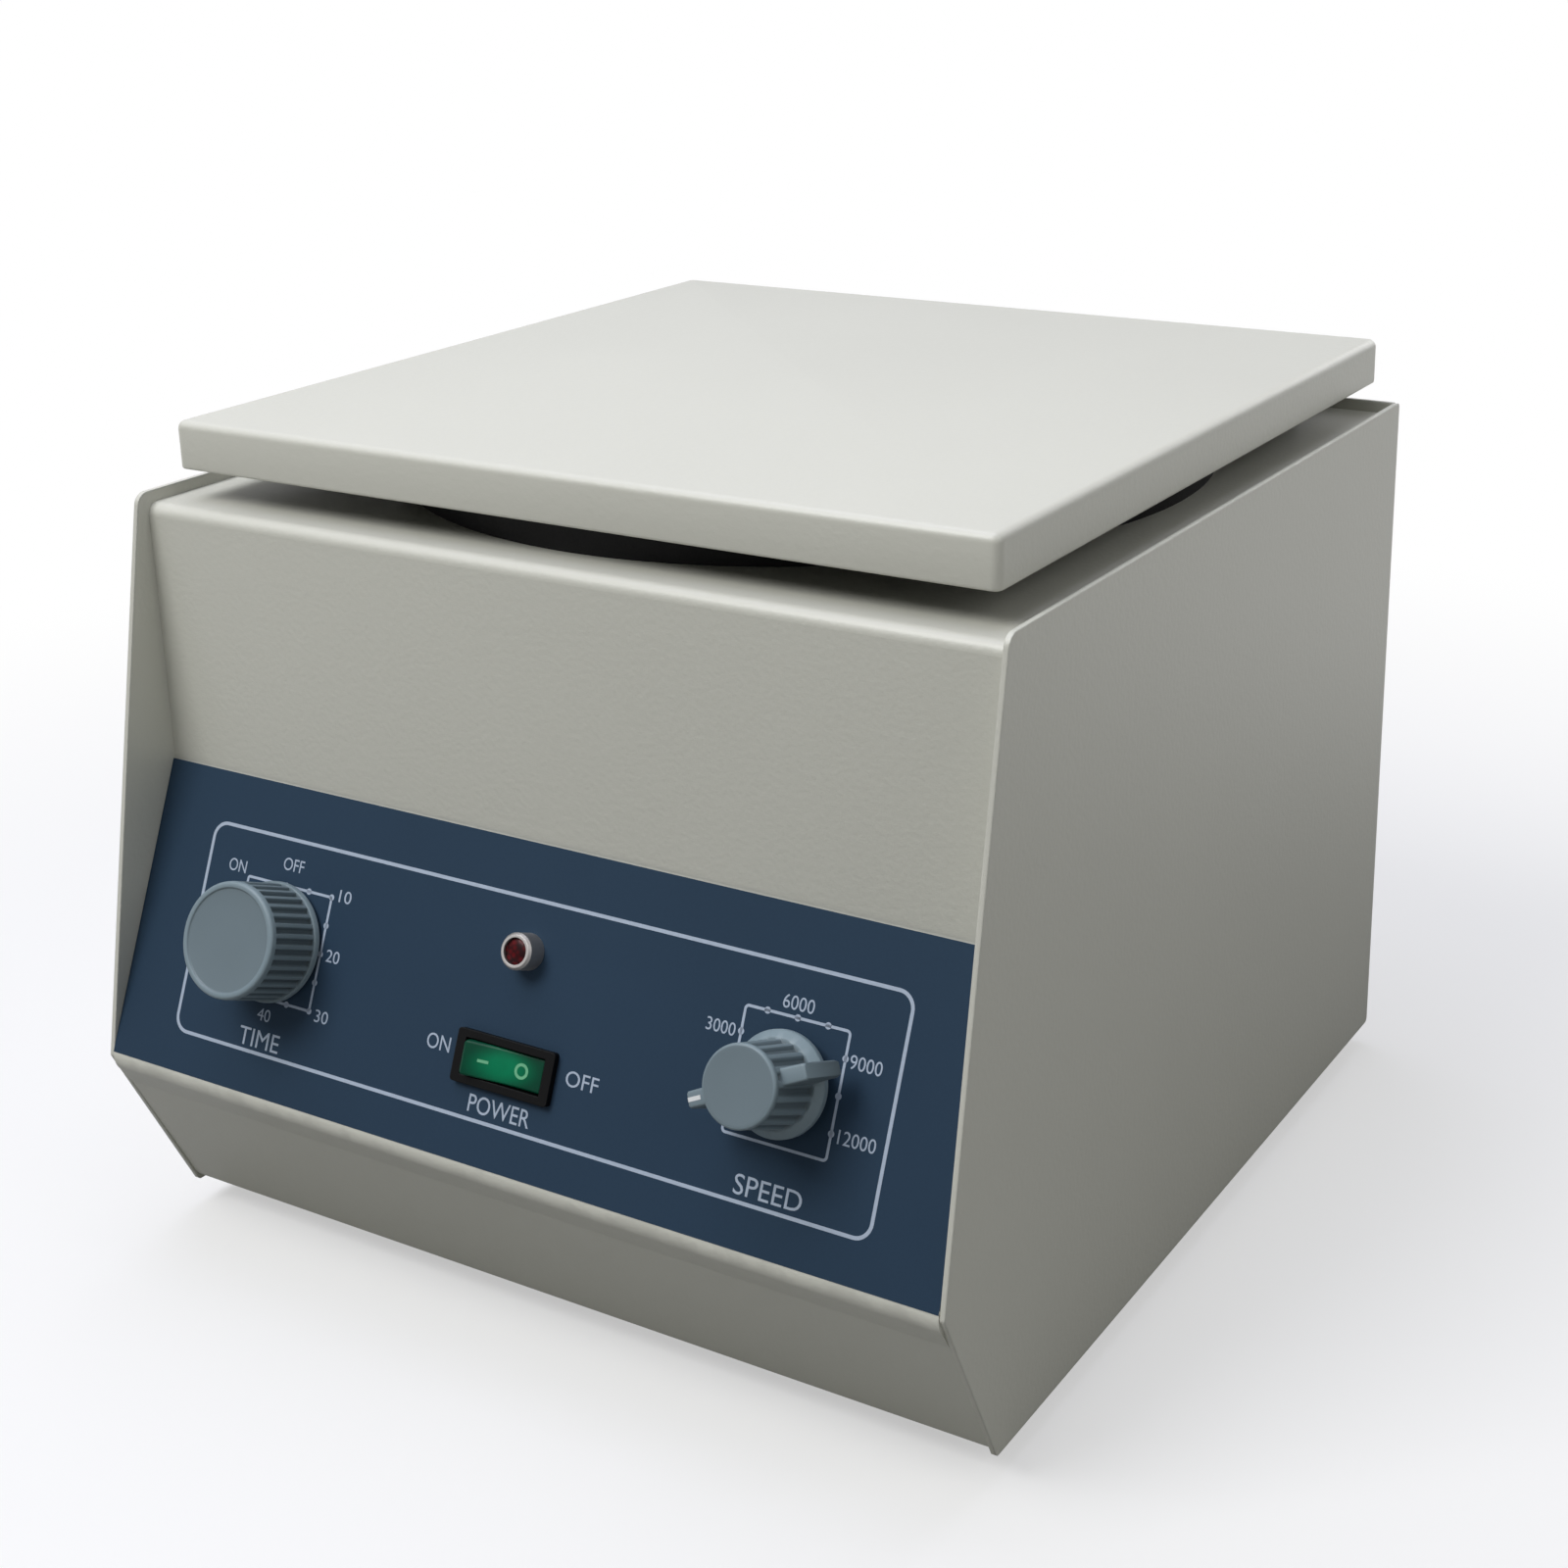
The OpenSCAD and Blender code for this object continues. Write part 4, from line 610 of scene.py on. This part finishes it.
def speed_grip():
    """Speed knob: a turned skirt with a sloped top and a slightly tapered cap whose side ripples as broad
    flutes, with a wing to each side of the pointer's line."""
    flutes, columns, depth, bevel = 18, 360, 0.75, 0.8
    r, top = SPEED_R, SPEED_TOP

    def ripple(angle):
        return -depth * np.clip((np.cos(angle * flutes) + 0.6) / 1.2, 0, 1)

    skirt_foot = np.concatenate([
        [[SKIRT_R - 3.0, SKIRT_FOOT + 2.0], [SKIRT_R - 2.4, SKIRT_FOOT], [SKIRT_R - 0.4, SKIRT_FOOT]],
        arc(SKIRT_R - 0.6, SKIRT_FOOT + 0.6, 0.6, -45, 0, 4)])
    skirt_top = np.concatenate([arc(SKIRT_R - 0.7, SKIRT_FOOT + 1.8, 0.7, 0, 40, 5), [[r + 1.1, SKIRT_TOP]]])
    rim = arc(r - 0.9, top - bevel, bevel, 0, 90, 6)
    skirt = turned_rows(np.concatenate([skirt_foot, skirt_top]), columns)
    side = turned_rows([[r + 0.6, SKIRT_TOP + 0.1], [r + 0.5, SKIRT_TOP + 1.0], [r - 0.1, top - 2.0]],
                       columns, ripple)
    crown = turned_rows(np.concatenate([
        [[r - 0.1, top - 1.6]], rim, [[r - 1.5, top - 0.05], [2.0, top - 0.15]]]), columns)
    rows = np.concatenate([skirt, side, crown])
    groove = ripple(full_turn(columns)) / -depth
    # Painted light on the knob: skirt top, flute ridges and rim painted lighter as highlights, the grooves
    # darker as shade.
    light_marks = np.zeros(rows.shape[:2])
    skirt_light, side_light, crown_light = np.split(light_marks, np.cumsum([len(skirt), len(side)]))
    skirt_light[len(skirt_foot) - 1:] = 1.2
    side_light[:] = 0.5 - 1.2 * groove
    crown_light[1:len(rim)] = 0.7
    wing = wing_rows(25)
    # The wing's crest is painted lighter as a highlight, its lower flanks darker as shade.
    wing_light = np.where(wing[..., 2] > WING_CREST - 1.4, 0.6, -0.5).ravel()
    points, faces = joined([rows, wing, wing * [-1.0, -1.0, 1.0]])
    made = piece("speed_grip", panel_points(turned(points, POINTER, DIAL_X, DIAL_V)), faces, "speed_control",
                 FINISH["knob_grey"], painted_light=np.concatenate([light_marks.ravel(), wing_light, wing_light]))
    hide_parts("speed_knob")


def pointer_line():
    """White line on the pointer's crest: a narrow strip that follows the wing's top out to its tip and a
    little way down its end."""
    half, proud, inlay = 0.55, 0.04, 0.1
    crest = wing_rows(40)[24:]
    ridge = np.stack([crest[..., 0].min(1), crest[..., 2].max(1) + proud], 1)
    ridge = np.concatenate([ridge, ridge[-1] + [[0.2, -0.6], [0.9, -3.4]]])
    across = np.array([half, -half])
    strip = np.stack(np.broadcast_arrays(ridge[:, :1], across, ridge[:, 1:]), -1).reshape(-1, 3)
    points, faces = inlaid(strip, strip - [inlay, 0.0, inlay], grid_faces(len(ridge), 2, wrap=False))
    points = panel_points(turned(points, POINTER, DIAL_X, DIAL_V))
    piece("pointer_line", points, faces, "speed_control", WHITE_INK, smooth=False)


def lens_dome():
    """Lamp lens: a turned plug whose front is a quarter of an ellipse, a low dome that fills the bezel's
    mouth."""
    quarter = np.linspace(0, 0.48 * pi, 14)
    front = np.stack([LENS_R * np.cos(quarter), LENS_RIM + (LENS_TOP - LENS_RIM) * np.sin(quarter)], 1)
    points, faces = joined([turned_rows(np.concatenate([[[LENS_R, LENS_BACK]], front]), 64)])
    made = piece("lens_dome", panel_points(turned(points, 0.0, LAMP_X, LAMP_V)), faces, "case",
                 FINISH["lens_red"])
    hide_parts("lamp_lens")


def rocker_top(a):
    """Height of the rocker's face: two slightly hollow halves that meet in a soft V."""
    drop, hollow, softness = 1.4, 0.25, 0.004
    k = np.abs(np.asarray(a, float)) / (ROCKER_W / 2)
    return ROCKER_END - drop * (1 - np.sqrt(k * k + softness)) - hollow * np.sin(pi * np.clip(k, 0, 1))


def rocker_points(points):
    """Points in the rocker's own frame, tilted with it about its pins and set on the panel."""
    p = np.asarray(points, float)
    a, c = p[..., 0], p[..., 2]
    x = a * cos(ROCKER_TILT) + c * sin(ROCKER_TILT)
    out = -a * sin(ROCKER_TILT) + c * cos(ROCKER_TILT)
    return panel_points(np.stack([SWITCH_X + x, SWITCH_V + p[..., 1], out], -1))


def rocker_face_points(points):
    """Marks on the rocker's face: each point takes the face's own height there."""
    p = np.array(points, float)
    p[..., 2] += rocker_top(p[..., 0])
    return rocker_points(p)


def rocker_cap():
    """Rocker: a section with rounded shoulders carried along its length under the V-shaped face; the
    first and last sections shrink to round the ends."""
    shoulder, shrink, end_share = 0.7, 0.5, 0.045
    s = np.linspace(-1, 1, 41)
    a = s * ROCKER_W / 2
    inset = shrink * (1 - quarter_round((np.abs(s) - 1 + end_share) / end_share))
    half, top = ROCKER_H / 2 - inset, rocker_top(a) - inset
    foot = np.full(len(a), -2.0)
    turn = np.linspace(0, pi / 2, 5)[:, None]
    rise, spread = shoulder * np.sin(turn), shoulder * np.cos(turn)
    v = np.concatenate([[half], half - shoulder + spread, -(half - shoulder + rise), [-half]])
    z = np.concatenate([[foot], top - shoulder + rise, top - shoulder + spread, [foot]])
    points, faces = joined([np.stack(np.broadcast_arrays(a, v, z), -1).transpose(1, 0, 2)])
    made = piece("rocker_cap", rocker_points(points), faces, "rocker", FINISH["rocker_green"])
    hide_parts("rocker")


def islands(node):
    """Vertices of a CAD node's separate solids: points at one place are joined, then each label spreads along
    the edges until all points of a solid share the lowest one."""
    mesh = frame["nodes"][node].data
    points, same = np.unique(np.round(mesh_points(mesh), 6), axis=0, return_inverse=True)
    ends = np.zeros(len(mesh.edges) * 2, int)
    mesh.edges.foreach_get("vertices", ends)
    ends = same.reshape(-1)[ends].reshape(-1, 2)
    label, before = np.arange(len(points)), None
    while before is None or (label != before).any():
        before = label.copy()
        low = label[ends].min(1)
        np.minimum.at(label, ends[:, 0], low)
        np.minimum.at(label, ends[:, 1], low)
    return [points[label == k] for k in np.unique(label)]


def cross_heads(node, body, head):
    """Rear-facing screw heads: a low dome over a polar grid, sunk by a cross whose two arms have sloped walls
    and a floor that deepens towards the middle; each head is turned differently."""
    rings, columns, arm_half, arm_reach, next_turn = 36, 96, 0.16, 0.62, 0.7
    share = np.append(np.linspace(0.02, 1.0, rings), 1.0)[:, None]
    around = full_turn(columns)
    across, along = np.abs(share * np.cos(around)), np.abs(share * np.sin(around))
    near, far = np.minimum(across, along), np.maximum(across, along)
    cross = np.clip((arm_half - near) / 0.06, 0, 1) * np.clip((arm_reach - far) / 0.1, 0, 1)
    height = head * (1.0 - 0.6 * share ** 2.4 - cross * (0.75 - 0.4 * far))
    height[-1] = 0.0
    heads = []
    for k, solid in enumerate(islands(node)):
        low, high = solid.min(0), solid.max(0)
        x, _, z = (low + high) / 2
        r = share * (high[0] - low[0]) / 2
        turn = around + next_turn * k
        heads.append(np.stack([x + r * np.cos(turn), high[1] - head + height, z + r * np.sin(turn)], -1))
    points, faces = joined(heads)
    made = piece(node + "_heads", points, faces, body, FINISH["zinc_steel"])
    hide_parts(node)


def inlet_pins():
    """Three contact blades of the mains inlet: a soft-cornered oblong section carried out along the socket's
    axis, shrinking at the tip."""
    half_w, half_h = 1.06, 2.06
    low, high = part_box("mains_inlet")
    middle = np.array([(low.x + high.x) / 2, high.y, (low.z + high.z) / 2])
    wide, tall = soft_square(32)
    depth = np.array([[-21.0], [-4.4], [-4.1], [-3.9]])
    share = np.array([[1.0], [1.0], [0.86], [0.6]])
    blades = []
    for x, z in ((-7.0, -2.0), (7.0, -2.0), (0.0, 2.0)):
        parts = np.broadcast_arrays(x + half_w * share * wide, depth, z + half_h * share * tall)
        blades.append(np.stack(parts, -1)[:, ::-1])
    points, faces = joined(blades)
    piece("inlet_pins", points * MM + middle, faces, "case", FINISH["zinc_steel"])


class Print:
    """Flat marks gathered into one mesh: points on the panel in millimetres, and faces."""

    def __init__(self):
        self.points, self.faces, self.count = [], [], 0

    def add(self, points, faces):
        self.points.append(np.asarray(points, float))
        self.faces += [[i + self.count for i in face] for face in faces]
        self.count += len(points)

    def dot(self, x, v, r=0.9, count=20):
        """Round spot of radius r."""
        a = full_turn(count)
        self.add(np.stack([x + r * np.cos(a), v + r * np.sin(a)], 1), [list(range(count))])

    def border(self, low, high, corner, width=0.75):
        """Line round a rectangle with round corners: a flat band between two outlines."""
        box = [[low[0], low[1]], [high[0], low[1]], [high[0], high[1]], [low[0], high[1]]]
        ring, normal = rounded_ring(box, corner)
        both = np.concatenate([ring + normal * width / 2, ring - normal * width / 2])
        self.add(both, grid_faces(2, len(ring)))

    def word(self, text, x, v, width, height):
        """Lettering centred at (x, v), stretched to the given width and capital height."""
        curve = bpy.data.curves.new("word", "FONT")
        curve.body = text
        curve.resolution_u = 4
        holder = linked("word", curve)
        bpy.context.view_layer.update()
        mesh = bpy.data.meshes.new_from_object(holder.evaluated_get(bpy.context.evaluated_depsgraph_get()))
        flat = mesh_points(mesh)[:, :2]
        low, high = flat.min(0), flat.max(0)
        flat = (flat - (low + high) / 2) / (high - low) * [width, height] + [x, v]
        self.add(flat, [list(p.vertices) for p in mesh.polygons])
        bpy.data.objects.remove(holder)
        bpy.data.curves.remove(curve)
        bpy.data.meshes.remove(mesh)

    def lay(self, out, name, body, material, place, inlay=0.06):
        """Puts the marks on their surface, at the given height and sunk by the inlay."""
        flat = np.concatenate(self.points)
        top = np.concatenate([flat, np.full((len(flat), 1), out)], 1)
        points, faces = inlaid(top, top - [0.0, 0.0, inlay], self.faces)
        piece(name, place(points), faces, body, material, smooth=False)


# Words and numbers on the panel: text, place across and up the slope, width, capital height
WORDS = (
    ("TIME", -84.8, 17.2, 15, 5.0), ("POWER", 1.4, 17.6, 20.6, 4.8), ("SPEED", 86.4, 17.6, 20, 5.2),
    ("ON", -22.5, 30.7, 8, 4.2), ("OFF", 25.7, 31.1, 10.5, 4.2),
    ("ON", -105.4, 63.4, 6.6, 3.6), ("OFF", -84.8, 67.3, 7.6, 3.6), ("10", -64.2, 62.2, 4.4, 3.5),
    ("20", -64.4, 45.2, 4.8, 3.5), ("30", -64.2, 28.2, 4.8, 3.5), ("40", -84.8, 24.2, 4.8, 3.5),
    ("3000", 63.9, 54.6, 8.8, 3.4), ("6000", 85.0, 65.0, 9.2, 3.6), ("9000", 106.8, 54.4, 9.2, 3.6),
    ("12000", 108.2, 35.8, 10.8, 3.6),
)


def panel_print():
    """Frame line, the two square scales with their dots and numbers, and the words of the panel."""
    p = Print()
    p.border((-116.5, 13.2), (116.5, 74.4), corner=4.5, width=1.0)
    left, right, low, high = -100.6, -69.0, 28.8, 61.2
    p.border((left, low), (right, high), corner=0.6)
    for k in (0.0, 0.25, 0.5, 0.75, 1.0):
        p.dot(right, low + k * (high - low))
    for x in (-86.0, -77.5):
        p.dot(x, high)
        p.dot(x, low)
    left, right, low, high = 70.0, 100.8, 29.2, 61.5
    p.border((left, low), (right, high), corner=1.0)
    for k in (0.21, 0.5, 0.79):
        p.dot(left + k * (right - left), high)
        p.dot(right, low + k * (high - low))
    p.dot(left, high - 0.21 * (high - low))
    for text, x, v, width, height in WORDS:
        p.word(text, x, v, width, height)
    p.lay(FACE + 0.03, "panel_print", "case", INK, panel_points)


def rocker_marks():
    """Line and ring on the rocker's two halves, in enough steps to follow its face."""
    half, count, outer, inner, middle = 0.4, 9, 2.15, 1.35, [5.4, 0.0]
    p = Print()
    run = np.linspace(-7.9, -4.7, count)
    p.add(np.stack([np.repeat(run, 2), np.tile([half, -half], count)], 1), grid_faces(count, 2, wrap=False))
    ring = full_turn(32)
    circle = np.stack([np.cos(ring), np.sin(ring)], 1)
    p.add(np.concatenate([circle * outer, circle * inner]) + middle, grid_faces(2, len(ring)))
    p.lay(0.05, "rocker_marks", "rocker", PALE_INK, rocker_face_points)


def set_camera():
    """Camera from the perspective fit: turn, height and roll about the case's rear foot, then the shift
    across and up in millimetres, the distance, and the focal length and middle of the picture in pixels."""
    turn, height, roll = radians(31.296), radians(18.132), radians(-1.1)
    shift_across, shift_up, distance = -61.065, 110.709, 914.537
    focal, middle_x, middle_y, picture, sensor = 2494.2, 860.0, 655.0, 1600.0, 36.0
    back = np.array([sin(turn) * cos(height), -cos(turn) * cos(height), sin(height)])
    side = np.cross([0, 0, 1], back)
    side /= np.linalg.norm(side)
    above = np.cross(back, side)
    right = cos(roll) * side + sin(roll) * above
    up = cos(roll) * above - sin(roll) * side
    eye = case_points(shift_across * right + shift_up * up + distance * back)
    lens = bpy.data.cameras.new("camera")
    lens.sensor_width = sensor
    lens.lens = focal / picture * sensor
    lens.shift_x = (picture / 2 - middle_x) / picture
    lens.shift_y = (middle_y - picture / 2) / picture
    lens.clip_start, lens.clip_end = 0.02, 100.0
    camera = linked("camera", lens)
    axes = np.column_stack([right, up, back, eye])
    camera.matrix_world = Matrix(np.vstack([axes, [0.0, 0.0, 0.0, 1.0]]).tolist())
    bpy.context.scene.camera = camera


def softbox(name, place, aim, size, power, tint=(1.0, 1.0, 1.0)):
    """Square area lamp that faces a point."""
    lamp = bpy.data.lights.new(name, "AREA")
    lamp.shape, lamp.size, lamp.energy, lamp.color = "SQUARE", size, power, tint
    holder = linked(name, lamp)
    holder.location = place
    holder.rotation_euler = (Vector(aim) - Vector(place)).to_track_quat("-Z", "Y").to_euler()


def pale_floor():
    """Round floor, pale under the object and fading to white away from it; it throws back less light than
    the camera sees."""
    radius, count, white = 40.0, 96, (1.0, 1.0, 1.0, 1.0)
    t = material_tree("floor")
    path = t.node("LightPath")
    seen = path["Is Camera Ray"] + path["Is Glossy Ray"] + path["Is Transmission Ray"]
    open_floor = from_axis(t.split(t.place())).steps(0.30, 0.75)
    factor = open_floor * seen + (1.0 - open_floor) * path["Is Camera Ray"] * 0.5
    tone = t.blend(path["Is Camera Ray"], (0.31, 0.31, 0.30, 1.0), (0.86, 0.86, 0.86, 1.0))
    pale = t.node("BsdfDiffuse", {}, {"Color": tone})["BSDF"]
    bright = t.node("Emission", {}, {"Color": white, "Strength": 1.0})["Emission"]
    t.node("OutputMaterial", {}, {"Surface": t.node("MixShader", {}, [factor, pale, bright])["Shader"]})
    mesh = bpy.data.meshes.new("floor")
    a = full_turn(count)
    rim = np.stack([radius * np.cos(a), radius * np.sin(a), np.zeros(count)], 1)
    mesh.from_pydata(rim.tolist(), [], [list(range(count))])
    mesh.materials.append(t.owner)
    linked("floor", mesh)


def surround():
    """White surround: dim as light, stronger from above, brighter in reflections, and white to the camera."""
    world = bpy.data.worlds.new("surround")
    bpy.context.scene.world = world
    t = Tree(world)
    path = t.node("LightPath")
    up = t.split(t.node("TexCoord")["Generated"])["Z"]
    ambient = 0.035 + up.steps(0.2, 0.9) * 0.26
    mirrored = 0.35 + up.steps(-0.1, 0.7) * 0.65
    shared = ambient + (mirrored - ambient) * path["Is Glossy Ray"]
    direct = path["Is Camera Ray"] + path["Is Transmission Ray"]
    glow = shared + (1.0 - shared) * direct
    sky = t.node("Background", {}, {"Color": (1.0, 1.0, 1.0, 1.0), "Strength": glow})["Background"]
    t.node("OutputWorld", {}, {"Surface": sky})


# CAD nodes dressed, new pieces added, then the stage
dress_nodes()
inlet_pins()
lid_tray()
cross_heads("rear_screws", "case", head=0.0018)
cross_heads("hinge_case_screws", "case", head=0.0012)
cross_heads("hinge_lid_screws", "lid", head=0.0012)
cross_heads("inlet_screws", "case", head=0.0012)
toe_fold()
timer_grip()
speed_grip()
lens_dome()
pointer_line()
rocker_cap()
panel_print()
rocker_marks()

set_camera()
pale_floor()
surround()
softbox("overhead", place=(-0.25, 0.1, 1.5), aim=CASE_TOP, size=1.2, power=10.5, tint=(0.80, 0.82, 1.0))
softbox("front_fill", place=(-0.6, -1.2, 1.75), aim=CASE_MIDDLE, size=1.0, power=26.4)
softbox("rear_fill", place=(0.3, 1.9, 0.55), aim=CASE_MIDDLE, size=0.8, power=5.4)
softbox("side_fill", place=(1.5, -0.1, 1.0), aim=CASE_MIDDLE, size=1.0, power=4.4)
bpy.context.scene.view_settings.view_transform = "Standard"
